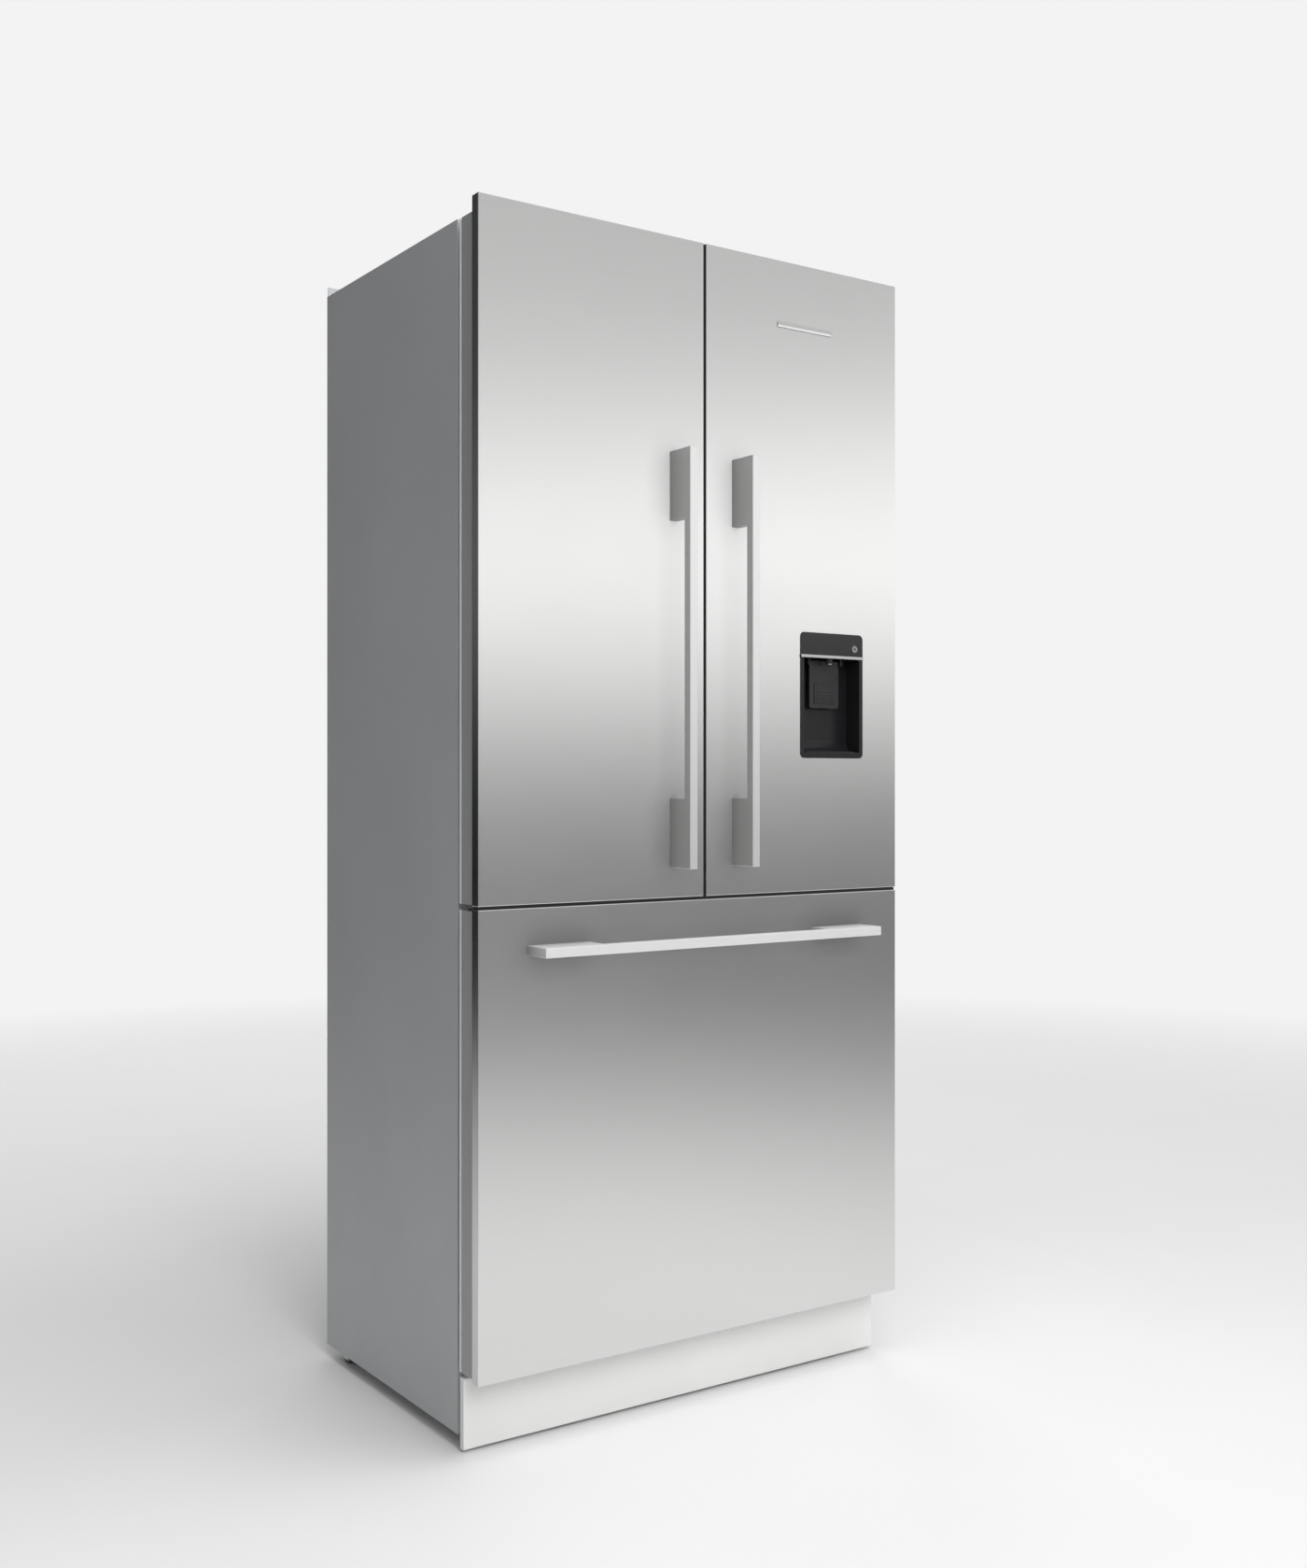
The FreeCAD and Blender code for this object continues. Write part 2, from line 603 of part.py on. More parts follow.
def chassis():
    """Steel tray with a bored boss over each foot and a fork round each roller."""
    tray = block("chassis_tray", across("inner_half"), ("y_cabinet + case_sheet", "y_back - case_sheet"),
                 ("chassis_underside", "z_case"))
    room = block("chassis_room", across("inner_half - chassis_sheet"),
                 ("y_cabinet + case_sheet + chassis_sheet", "y_back - case_sheet - chassis_sheet"),
                 ("chassis_underside + chassis_sheet", "z_case + 1"))
    face = block("chassis_face", across("liner_half"), ("y_cabinet", "y_cabinet + case_sheet"),
                 ("chassis_underside", "z_floor - liner_sheet"))
    added, taken = [face], []
    half_fork = "(roller_width / 2 + 1 + fork_plate)"
    for side in (-1, 1):
        foot_x = f"{side} * (case_half - foot_inset)"
        added.append(rod("foot_boss", "2 * stem_radius", (foot_x, FOOT_Y, "chassis_underside"), "25"))
        taken.append(rod("foot_bore", "stem_radius + running_fit", (foot_x, FOOT_Y, "0"), "z_case"))
        middle = f"({side} * (case_half - roller_inset))"
        reach = "(roller_radius + 4)"
        crown = "(2 * roller_radius + 4)"
        half_well = "(roller_width / 2 + 1)"
        taken.append(block("roller_well", (f"{middle} - {half_well}", f"{middle} + {half_well}"),
                           (f"{ROLLER_Y} - {reach}", f"{ROLLER_Y} + {reach}"), ("0", crown)))
        for low, high in ((f"-{half_fork}", f"-{half_fork} + fork_plate"),
                          (f"{half_fork} - fork_plate", half_fork)):
            added.append(block("fork_side", (f"{middle} + {low}", f"{middle} + {high}"),
                               (f"{ROLLER_Y} - 14", f"{ROLLER_Y} + 14"),
                               ("roller_radius - 3 * axle_radius", crown)))
        added.append(block("fork_top", (f"{middle} - {half_fork}", f"{middle} + {half_fork}"),
                           (f"{ROLLER_Y} - 14", f"{ROLLER_Y} + 14"), (crown, f"{crown} + fork_plate")))
    hollow = cut("chassis_hollow", tray, room)
    shell = cut("chassis_bored", join("chassis_joined", hollow, *added), *taken)
    axles = [
        rod("roller_axle", "axle_radius",
            (f"{side} * (case_half - roller_inset) - {half_fork}", ROLLER_Y, "roller_radius"),
            f"2 * {half_fork}", "x")
        for side in (-1, 1)
    ]
    node("base_chassis", join("base_chassis", shell, *axles))


def toe_kick():
    body = new_body("toe_kick", ("-case_half", "y_fascia + kick_setback + kick_board", "kick_clear"), FACING)
    outline = rectangle(body, ("0", "2 * case_half"), ("0", "kick_height - 2 * kick_clear"))
    board = pad(body, outline, "kick_board")
    fillet(body, board, "kick_board / 6", level(measure("kick_board")))
    clips = [
        block("kick_clip", (f"{share} * case_half - 20", f"{share} * case_half + 20"),
              ("y_fascia + kick_setback + kick_board - 1", "y_cabinet"),
              ("chassis_underside + 15", "kick_height - kick_clear - 15"))
        for share in (-0.8, 0, 0.8)
    ]
    node("toe_kick", join("toe_kick_clipped", body, *clips))


def foot(label, side):
    """Levelling foot: a pad with a hexagonal collar and a stem that turns in the chassis boss."""
    body = new_body(label, (f"{side} * (case_half - foot_inset)", FOOT_Y, "0"))
    disc = pad(body, circle(body, "0", "0", "foot_radius"), "foot_pad")
    fillet(body, disc, "foot_pad / 4", level(measure("foot_pad")))
    size = "(1.6 * stem_radius)"
    turns = [(1, 0), (0.5, 0.866), (-0.5, 0.866), (-1, 0), (-0.5, -0.866), (0.5, -0.866)]
    nut = polygon(body, [(f"{size} * {x}", f"{size} * {y}") for x, y in turns], "foot_pad")
    pad(body, nut, "stem_radius")
    stem = circle(body, "0", "0", "stem_radius", "foot_pad + stem_radius")
    pad(body, stem, "stem_length - stem_radius")
    node(label, body)


def roller(label, side):
    tyre = rod(f"{label}_tyre", "roller_radius",
               (f"{side} * (case_half - roller_inset) - roller_width / 2", ROLLER_Y, "roller_radius"),
               "roller_width", "x")
    bore = rod(f"{label}_bore", "axle_radius + running_fit",
               (f"{side} * (case_half - roller_inset) - roller_width", ROLLER_Y, "roller_radius"),
               "2 * roller_width", "x")
    node(label, cut(label, tyre, bore))


# ---------------------------------------------------------------------------------------------
# Machine bay: compressor, condenser, fan, drip pan, water and mains inlets, cover
# ---------------------------------------------------------------------------------------------

Z_BAY = "(chassis_underside + chassis_sheet)"
Y_BAY = "(y_machine + machine_depth / 2)"
COMPRESSOR_X = "(-case_half / 2)"
FAN_X = "(-case_half / 6)"
FAN_Z = f"({Z_BAY} + machine_height / 2 + 10)"
INLET_X = "(case_half - 75)"
MAINS_X = "(-case_half + 80)"
PORT_Z = "(z_case + machine_height / 2)"


def compressor():
    """Domed steel can on four feet, with two pipe stubs."""
    radius, height = "(machine_depth * 0.38)", "(machine_height + chassis_height - can_room)"
    body = new_body("compressor_can", (COMPRESSOR_X, Y_BAY, f"{Z_BAY} + 14"))
    can = pad(body, circle(body, "0", "0", radius), height)
    fillet(body, can, f"{radius} * 0.45", lambda edge: not along("z")(edge))
    plate = block("compressor_plate", (f"{COMPRESSOR_X} - {radius} - 12", f"{COMPRESSOR_X} + {radius} + 12"),
                  (f"{Y_BAY} - {radius} * 0.8", f"{Y_BAY} + {radius} * 0.8"),
                  (f"{Z_BAY} + 12", f"{Z_BAY} + 16"))
    legs = [
        rod("compressor_leg", "can_foot",
            (f"{COMPRESSOR_X} + {sx} * {radius}", f"{Y_BAY} + {sy} * {radius} * 0.6", Z_BAY), "12")
        for sx in (-1, 1) for sy in (-1, 1)
    ]
    stub = rod("compressor_stub", "5",
               (f"{COMPRESSOR_X} + {radius} * 0.4", Y_BAY, f"{Z_BAY} + {height} - 10"), "40")
    node("compressor", join("compressor", body, plate, stub, *legs))


def serpentine(name, start, run, pitch, passes, tube):
    """A tube that goes back and forth along X, each pass one pitch higher."""
    radius = pitch / 2
    edges, x_low, x_high = [], start.x, start.x + run
    for i in range(passes):
        z = start.z + i * pitch
        left, right = Vector(x_low, start.y, z), Vector(x_high, start.y, z)
        first, last = (left, right) if i % 2 == 0 else (right, left)
        edges.append(Part.LineSegment(first, last).toShape())
        if i < passes - 1:
            bulge = Vector(last.x + (radius if i % 2 == 0 else -radius), start.y, z + radius)
            edges.append(Part.Arc(last, bulge, last + Vector(0, 0, pitch)).toShape())
    path = Part.Wire(edges)
    ring = Part.Wire(Part.makeCircle(tube, start, Vector(1, 0, 0)))
    return path.makePipeShell([ring], True, True)


def shaped(name, shape):
    thing = doc.addObject("Part::Feature", name)
    thing.Shape = shape
    return thing


def condenser():
    """Three serpentine tubes, one behind the other, held by two plates."""
    run, passes, tube = measure("case_half * 0.45"), 7, measure("condenser_tube")
    pitch = measure("machine_height + chassis_height - 60") / passes
    x, y, z = measure(f"{FAN_X} + 60"), measure(f"{Y_BAY} - 30"), measure(f"{Z_BAY} + 12")
    tubes = [shaped("condenser_tube", serpentine("tube", Vector(x, y + 30 * k, z), run, pitch, passes, tube))
             for k in range(3)]
    plates = [
        block("condenser_plate",
              (f"{FAN_X} + 60 + {share} * case_half", f"{FAN_X} + 62 + {share} * case_half"),
              (f"{Y_BAY} - 40", f"{Y_BAY} + 40"), (Z_BAY, f"{Z_BAY} + machine_height + chassis_height - 70"))
        for share in (0.04, 0.4)
    ]
    node("condenser", join("condenser", *tubes, *plates))


def fan():
    """Motor on a shroud with three struts, and the fan that turns on its shaft."""
    ring = block("fan_shroud_plate", (f"{FAN_X} - fan_sheet / 2", f"{FAN_X} + fan_sheet / 2"),
                 (f"{Y_BAY} - fan_shroud", f"{Y_BAY} + fan_shroud"), (Z_BAY, f"{FAN_Z} + fan_shroud"))
    hole = rod("fan_shroud_hole", "fan_opening", (f"{FAN_X} - fan_sheet", Y_BAY, FAN_Z), "2 * fan_sheet", "x")
    motor = rod("fan_motor_can", "motor_radius", (f"{FAN_X} + fan_sheet / 2", Y_BAY, FAN_Z),
                "motor_length", "x")
    strut = block("fan_strut", (f"{FAN_X} - fan_sheet / 2", f"{FAN_X} + fan_sheet / 2"),
                  (f"{Y_BAY} - fan_opening - 4", f"{Y_BAY} + fan_opening + 4"),
                  (f"{FAN_Z} - 5", f"{FAN_Z} + 5"))
    back = rod("fan_motor_foot", "motor_radius - 4", (f"{FAN_X} - fan_sheet / 2", Y_BAY, FAN_Z), "6", "x")
    shaft = rod("fan_shaft_rod", "fan_shaft", (f"{FAN_X} - 34", Y_BAY, FAN_Z), "36", "x")
    shroud = cut("fan_shroud_frame", ring, hole)
    node("fan_motor", join("fan_motor", shroud, strut, back, motor, shaft))
    hub = rod("fan_hub_rod", "fan_hub", (f"{FAN_X} - 32", Y_BAY, FAN_Z), "22", "x")
    blades, count = [], 5
    for i in range(count):
        blade = block("fan_blade_plate", ("-1", "1"), ("-12", "12"), ("fan_hub - 5", "fan_tip"))
        for axis in "xyz":
            blade.setExpression(f"Placement.Base.{axis}", None)
        pitched = Rotation(Vector(1, 0, 0), 360 * i / count) * Rotation(Vector(0, 0, 1), 35)
        centre = Vector(measure(f"{FAN_X} - 21"), measure(Y_BAY), measure(FAN_Z))
        root = Vector(-1, -12, measure("fan_hub - 5"))
        blade.Placement = Placement(centre + pitched.multVec(root), pitched)
        blades.append(blade)
    bore = rod("fan_bore", "fan_shaft + running_fit", (f"{FAN_X} - 40", Y_BAY, FAN_Z), "60", "x")
    node("condenser_fan", cut("condenser_fan", join("fan_wheel", hub, *blades), bore))


def bay_parts():
    pan_x = "(case_half * 0.5)"
    node("drip_pan", tub("drip_pan", (pan_x, f"{pan_x} + case_half * 0.24"),
                         (f"{Y_BAY} - 65", f"{Y_BAY} + 55"), (Z_BAY, f"{Z_BAY} + 40"), "2", "10"))
    valve = block("valve_body", (f"{INLET_X} - valve_half", f"{INLET_X} + valve_half"),
                  ("y_back - 82", "y_back - 36"),
                  (f"{PORT_Z} - 26", f"{PORT_Z} + 26"))
    coil = rod("valve_coil", "15", (INLET_X, "y_back - 60", f"{PORT_Z} + 20"), "26")
    stub = rod("valve_stub", "valve_port", (INLET_X, "y_back - 40", PORT_Z), "38", "y")
    bore = rod("valve_stub_bore", "valve_bore", (INLET_X, "y_back - 30", PORT_Z), "30", "y")
    bracket = block("valve_bracket", (f"{INLET_X} - valve_half", f"{INLET_X} + valve_half"),
                    ("y_back - 85", "y_back - 82"), (Z_BAY, f"{PORT_Z} + 26"))
    node("water_inlet", cut("water_inlet", join("valve", valve, coil, stub, bracket), bore))
    mains_x = (f"{MAINS_X} - mains_half", f"{MAINS_X} + mains_half")
    mains_z = (f"{PORT_Z} - mains_rise", f"{PORT_Z} + mains_rise")
    shell = block("mains_shell", mains_x, ("y_back - mains_depth", "y_back"), mains_z)
    mouth = block("mains_mouth", (f"{mains_x[0]} + 12", f"{mains_x[1]} - 12"), ("y_back - 18", "y_back + 1"),
                  (f"{mains_z[0]} + 6", f"{mains_z[1]} - 6"))
    blades = [
        block("mains_blade", (f"{MAINS_X} + {x} - 1", f"{MAINS_X} + {x} + 1"), ("y_back - 20", "y_back - 3"),
              (f"{PORT_Z} + {z} - 2.5", f"{PORT_Z} + {z} + 2.5"))
        for x, z in ((-7, -2), (0, 3), (7, -2))
    ]
    node("power_inlet", join("power_inlet", cut("mains_socket", shell, mouth), *blades))


def machine_cover():
    """Rear cover with rows of air slots and holes for the two inlets."""
    plate = block("cover_plate", across("inner_half"), ("y_back - case_sheet", "y_back"),
                  ("chassis_underside", "z_machine"))
    taken = [
        rod("cover_water", "port_clear", (INLET_X, "y_back - 5", PORT_Z), "10", "y"),
        block("cover_mains", (f"{MAINS_X} - mains_half", f"{MAINS_X} + mains_half"),
              ("y_back - 5", "y_back + 5"), (f"{PORT_Z} - mains_rise", f"{PORT_Z} + mains_rise")),
    ]
    rows, columns = 6, 3
    for row_ in range(rows):
        low = f"(z_case + machine_height * {round((row_ + 1) / (rows + 1), 4)})"
        for column in range(columns):
            start = f"(-case_half * 0.5 + case_half * {round(0.36 * column, 3)})"
            taken.append(block("cover_slot", (start, f"{start} + case_half * 0.28"),
                               ("y_back - 5", "y_back + 5"), (low, f"{low} + 5")))
    node("machine_cover", cut("machine_cover", plate, *taken))


# ---------------------------------------------------------------------------------------------
# Hinges
# ---------------------------------------------------------------------------------------------

PIVOT_BOSS = 9


def hinge(name, side, z_low, pin_low, pin_high, back, bolted):
    """A steel plate with a round nose over the hinge axis and a pin into the door."""
    axis_x = f"({side} * pivot_half)"
    nose = rod(f"{name}_nose", str(PIVOT_BOSS), (axis_x, "y_pivot", z_low), "hinge_plate")
    arm = block(f"{name}_arm", mirrored(side, "pivot_half - 38", "pivot_half"),
                ("y_pivot - 4", back), (z_low, f"{z_low} + hinge_plate"))
    pin = rod(f"{name}_pin", "pin_radius", (axis_x, "y_pivot", pin_low), f"({pin_high}) - ({pin_low})")
    pieces = [nose, arm, pin]
    if bolted:
        pieces.append(block(f"{name}_foot", mirrored(side, "pivot_half - 38", "pivot_half"),
                            ("y_cabinet - hinge_plate", "y_cabinet"), ("z_seam - 8", "z_seam + 8")))
    return join(name, *pieces)


def hinges():
    top = [
        hinge(f"top_hinge_{side + 1}", side, "z_case_top", "z_case_top - pin_length", "z_case_top + 1",
              "y_cabinet + 95", False)
        for side in (-1, 1)
    ]
    node("top_hinges", gather("top_hinges", *top))
    low = "(z_seam - hinge_plate + 0.5)"
    middle = [
        hinge(f"middle_hinge_{side + 1}", side, low, low, f"{low} + hinge_plate + pin_length",
              "y_cabinet", True)
        for side in (-1, 1)
    ]
    node("middle_hinges", gather("middle_hinges", *middle))


# ---------------------------------------------------------------------------------------------
# Fronts and handles
# ---------------------------------------------------------------------------------------------


def fascia(label, x, z, window=None):
    """A folded steel front: one skin with returned edges, open at the back, with an optional window."""
    body = new_body(label, (x[0], "y_door", z[0]), FACING)
    width, height = f"(({x[1]}) - ({x[0]}))", f"(({z[1]}) - ({z[0]}))"
    slab = pad(body, rectangle(body, ("0", width), ("0", height)), "fascia_depth")
    front = level(measure("fascia_depth"))
    fillet(body, slab, "fascia_edge", lambda edge: front(edge) or along("z")(edge))
    if window:
        left, low, wide, tall = window
        opening = rectangle(body, (left, f"{left} + {wide}"), (low, f"{low} + {tall}"), "fascia_depth")
        opened = pocket(body, opening, "fascia_depth")
        left_edge, right_edge = measure(left), measure(f"{left} + {wide}")

        def window_corner(edge):
            box = edge.BoundBox
            upright = box.XLength < CLOSE and box.YLength < CLOSE
            return upright and left_edge - CLOSE < box.XMin < right_edge + CLOSE

        fillet(body, opened, "dispenser_corner", window_corner)
        inside_z = [("fascia_skin", f"{low} - fascia_skin"),
                    (f"{low} + {tall} + fascia_skin", f"{height} - fascia_skin")]
        inside_x = [("fascia_skin", f"{left} - fascia_skin"),
                    (f"{left} + {wide} + fascia_skin", f"{width} - fascia_skin")]
        full_x = ("fascia_skin", f"{width} - fascia_skin")
        beside_z = (f"{low} - fascia_skin", f"{low} + {tall} + fascia_skin")
        rooms = [(full_x, band) for band in inside_z] + [(band, beside_z) for band in inside_x]
    else:
        rooms = [(("fascia_skin", f"{width} - fascia_skin"), ("fascia_skin", f"{height} - fascia_skin"))]
    for room_x, room_z in rooms:
        pocket(body, rectangle(body, room_x, room_z), "fascia_depth - fascia_skin", upward=True)
    node(label, body)


HANDLE_OUTLINE = [
    ("0", "0"), ("handle_length", "0"), ("handle_length", "handle_standoff"),
    ("handle_length - handle_foot", "handle_standoff"), ("handle_length - handle_foot", "handle_bar"),
    ("handle_foot", "handle_bar"), ("handle_foot", "handle_standoff"), ("0", "handle_standoff"),
]


def handle(label, corner, turn):
    """A square bar with a solid foot at each end, cut from one plate with eased outer edges."""
    body = new_body(label, corner, turn)
    plate = pad(body, polygon(body, HANDLE_OUTLINE), "handle_bar")

    def eased(edge):
        return edge.BoundBox.YMax < CLOSE or (
            along("y")(edge) and edge.BoundBox.YMin < CLOSE
        )

    fillet(body, plate, "handle_edge", eased)
    node(label, body)


# ---------------------------------------------------------------------------------------------
# Upper doors
# ---------------------------------------------------------------------------------------------


def core(name, x, z):
    """The insulation that fills a folded front."""
    return block(f"{name}_core", (f"{x[0]} + fascia_skin", f"{x[1]} - fascia_skin"),
                 ("y_fascia + fascia_skin", "y_door"), (f"{z[0]} + fascia_skin", f"{z[1]} - fascia_skin"))


def door_case(label, side):
    """Insulated door: rounded upright edges, a pin bore at each end, and room for the dispenser."""
    x = mirrored(side, "panel_gap / 2 + door_inset", "half - door_inset")
    body = new_body(f"{label}_body", (x[0], "y_door", "z_door_case_low"))
    width, depth = f"(({x[1]}) - ({x[0]}))", "(door_depth - door_liner)"
    height = "(z_door_case_top - z_door_case_low)"
    slab = pad(body, rectangle(body, ("0", width), ("0", depth)), height)
    fillet(body, slab, "door_corner", along("z"))
    pivot_x = f"({side} * pivot_half - ({x[0]}))"
    pivot_y = "(y_pivot - y_door)"
    for lift, upward in ((height, False), ("0", True)):
        bore = circle(body, pivot_x, pivot_y, "pin_radius + running_fit", lift)
        pocket(body, bore, "pin_length + 4", upward)
    fill = core(label, mirrored(side, "panel_gap / 2", "half"), ("z_door_low", "z_top"))
    filled = join(f"{label}_filled", body, fill)
    if side > 0:
        room = block("dispenser_room",
                     ("dispenser_side - dispenser_width / 2 - fascia_skin",
                      "dispenser_side + dispenser_width / 2 + fascia_skin"),
                     ("y_fascia", "y_fascia + recess_depth + 2.5"),
                     ("dispenser_low - fascia_skin", "dispenser_top + fascia_skin"))
        node(label, cut(label, filled, room))
    else:
        node(label, filled)


def door_liner_piece(label, side):
    """Inner skin with a raised rim that holds the bins. The left one also carries the mullion's lugs."""
    skin = block(f"{label}_skin", mirrored(side, "panel_gap / 2 + door_inset", "half - door_inset"),
                 ("y_inner - door_liner", "y_inner"), ("z_door_case_low", "z_door_case_top"))
    rim_y = ("y_inner", "y_cabinet + dike_depth")
    rim = cut(
        f"{label}_rim",
        block(f"{label}_rim_outer", mirrored(side, "dike_side", "pivot_half - dike_outer"), rim_y,
              ("z_dike_low", "z_dike_top")),
        block(f"{label}_rim_inner",
              mirrored(side, "dike_side + dike_wall", "pivot_half - dike_outer - dike_wall"),
              ("y_inner - 1", "y_cabinet + dike_depth + 1"),
              ("z_dike_low + dike_wall", "z_dike_top - dike_wall")),
    )
    pieces, bores = [skin, rim], []
    if side < 0:
        gap = "(mullion_end + 10)"
        for low, high in ((f"z_divider_high + {gap} - 9", f"z_divider_high + {gap} - 1"),
                          (f"z_roof - {gap} + 1", f"z_roof - {gap} + 9")):
            pieces.append(block("mullion_lug", ("-dike_side", "-mullion_side + 6"),
                                ("y_cabinet + 1", "y_cabinet + mullion_back + 7"), (low, high)))
            bores.append(rod("mullion_bore", "mullion_pin + running_fit",
                             ("-mullion_side", "y_cabinet + mullion_back", f"{low} - 1"), "10"))
    whole = join(f"{label}_joined", *pieces)
    node(label, cut(label, whole, *bores) if bores else whole)


def ring(label, x, y, z, width):
    """A flat rectangular ring in the plane of the doors."""
    outer = block(f"{label}_outer", x, y, z)
    inner = block(f"{label}_inner", (f"{x[0]} + {width}", f"{x[1]} - {width}"),
                  (f"{y[0]} - 1", f"{y[1]} + 1"), (f"{z[0]} + {width}", f"{z[1]} - {width}"))
    return cut(label, outer, inner)


def door_seal(label, side):
    x = mirrored(side, "panel_gap / 2 + door_inset + 2.5", "pivot_half - 1")
    node(label, ring(label, x, ("y_inner", "y_cabinet - seal_play"),
                     ("z_divider_high - seal_width - 1", "z_roof + seal_width + 1"), "seal_width"))


def door_bins(label, side):
    """Three bins that hang between the sides of the liner's raised rim."""
    x = mirrored(side, "dike_side + dike_wall + slide_play",
                 "pivot_half - dike_outer - dike_wall - slide_play")
    bins = []
    for index in range(3):
        low = f"(z_crisper_shelf + bin_lift + {index} * bin_pitch)"
        bins.append(tub(f"{label}_{index}", x, ("y_inner", "y_inner + bin_depth"),
                        (low, f"{low} + bin_height"), "bin_wall", "bin_corner"))
    node(label, gather(label, *bins))


def mullion():
    """Upright flap on the left door, drawn folded back. It turns on a pin at each end."""
    low, high = "(z_divider_high + mullion_end + 10)", "(z_roof - mullion_end - 10)"
    body = new_body("mullion_bar", ("-mullion_side - mullion_half", "y_cabinet + mullion_back", low))
    flap = pad(body, rectangle(body, ("0", "2 * mullion_half"), ("0", "mullion_reach")), f"{high} - {low}")
    far = measure("mullion_reach")

    def free_edge(edge):
        return along("z")(edge) and abs(edge.CenterOfMass.y - far) < CLOSE

    fillet(body, flap, "mullion_half / 3", free_edge)
    barrel = rod("mullion_barrel", "mullion_half", ("-mullion_side", "y_cabinet + mullion_back", low),
                 f"{high} - {low}")
    pins = rod("mullion_pins", "mullion_pin", ("-mullion_side", "y_cabinet + mullion_back", f"{low} - 8"),
               f"{high} - {low} + 16")
    node("mullion", join("mullion", body, barrel, pins))


# ---------------------------------------------------------------------------------------------
# Water dispenser
# ---------------------------------------------------------------------------------------------


def dispenser():
    left = "(dispenser_side - dispenser_width / 2 + 0.3)"
    wide, tall = "(dispenser_width - 0.6)", "(dispenser_height - 0.6)"
    low, back = "(dispenser_low + 0.3)", "(y_fascia + recess_depth + 2.5)"
    thick = "(recess_depth + 2.5 + dispenser_proud)"
    body = new_body("dispenser_shell", (left, back, low), FACING)
    slab = pad(body, rectangle(body, ("0", wide), ("0", tall)), thick)
    corners = fillet(body, slab, "dispenser_corner", along("z"))
    fillet(body, corners, "dispenser_proud * 0.8", level(measure(thick)))
    floor_, brow = f"dispenser_low + dispenser_sill - {low}", f"z_ledge - {low}"
    recess = rectangle(body, ("dispenser_rim - 0.3", f"{wide} - dispenser_rim + 0.3"), (floor_, brow), thick)
    dug = pocket(body, recess, "recess_depth + dispenser_proud")
    deep, sill = measure("2.5"), measure(floor_)

    def lower_back(edge):
        box = edge.BoundBox
        return along("x")(edge) and abs(box.ZMin - deep) < CLOSE and abs(box.YMin - sill) < CLOSE

    fillet(body, dug, "recess_scoop", lower_back)
    button_bore = circle(body, f"dispenser_side + button_side - {left}", f"z_ledge + button_rise - {low}",
                         "button_radius + running_fit", thick)
    pocket(body, button_bore, "button_depth - button_proud + button_travel + running_fit")
    lugs, bores = [], []
    lug_half = "(paddle_width / 2 + 1)"
    for side in (-1, 1):
        inner = f"(dispenser_side + {side} * {lug_half})"
        outer = f"(dispenser_side + {side} * ({lug_half} + 5))"
        x = (inner, outer) if side > 0 else (outer, inner)
        lugs.append(block("paddle_lug", x, ("y_fascia + paddle_back - 4", "y_fascia + recess_depth + 1"),
                          ("z_paddle_pin - 5", "z_ledge + 1")))
    bores.append(rod("paddle_bore", "paddle_pin + running_fit",
                     (f"dispenser_side - {lug_half} - 5.5", "y_fascia + paddle_back + paddle_sheet / 2",
                      "z_paddle_pin"), f"2 * {lug_half} + 11", "x"))
    ledge_x = (f"{left} + 0.8", f"{left} + {wide} - 0.8")
    ledge_y = ("y_fascia - spout_proud", "y_fascia + spout_depth - 5")
    ledge_z = ("z_ledge", "z_ledge + spout_height")
    slot = block("ledge_slot", ledge_x, ledge_y, ledge_z)
    node("dispenser_housing", cut("dispenser_housing", join("dispenser_lugged", body, *lugs), slot, *bores))

    ledge = block("ledge_plate", ledge_x, ledge_y, ledge_z)
    nozzle_y = "y_fascia + nozzle_back - 4"
    nozzle = rod("nozzle_tube", "nozzle_radius", ("dispenser_side", nozzle_y, "z_ledge - nozzle_drop"),
                 "nozzle_drop + 1")
    mouth = rod("nozzle_mouth", "nozzle_radius - 1.5",
                ("dispenser_side", nozzle_y, "z_ledge - nozzle_drop - 1"), "nozzle_drop - 2")
    node("dispenser_spout", cut("dispenser_spout", join("spout", ledge, nozzle), mouth))

    paddle_y = "(y_fascia + paddle_back)"
    plate = new_body("paddle_plate", ("dispenser_side - paddle_width / 2", f"{paddle_y} + paddle_sheet",
                                      "z_paddle_pin - paddle_height"), FACING)
    blade = pad(plate, rectangle(plate, ("0", "paddle_width"), ("0", "paddle_height + 3")), "paddle_sheet")
    fillet(plate, blade, "5", lambda edge: along("z")(edge) and edge.CenterOfMass.y < 1)
    pin = rod("paddle_pin_rod", "paddle_pin",
              (f"dispenser_side - {lug_half} - 4", f"{paddle_y} + paddle_sheet / 2", "z_paddle_pin"),
              f"2 * {lug_half} + 8", "x")
    node("dispenser_paddle", join("dispenser_paddle", plate, pin))

    key = new_body("dispenser_button", ("dispenser_side + button_side",
                                        "y_fascia - dispenser_proud - button_proud + button_depth",
                                        "z_ledge + button_rise"), FACING)
    cap = pad(key, circle(key, "0", "0", "button_radius"), "button_depth")
    fillet(key, cap, "0.8", level(measure("button_depth")))
    node("dispenser_button", key)


# ---------------------------------------------------------------------------------------------
# Fresh food cavity: shelves, vegetable drawers, air duct
# ---------------------------------------------------------------------------------------------


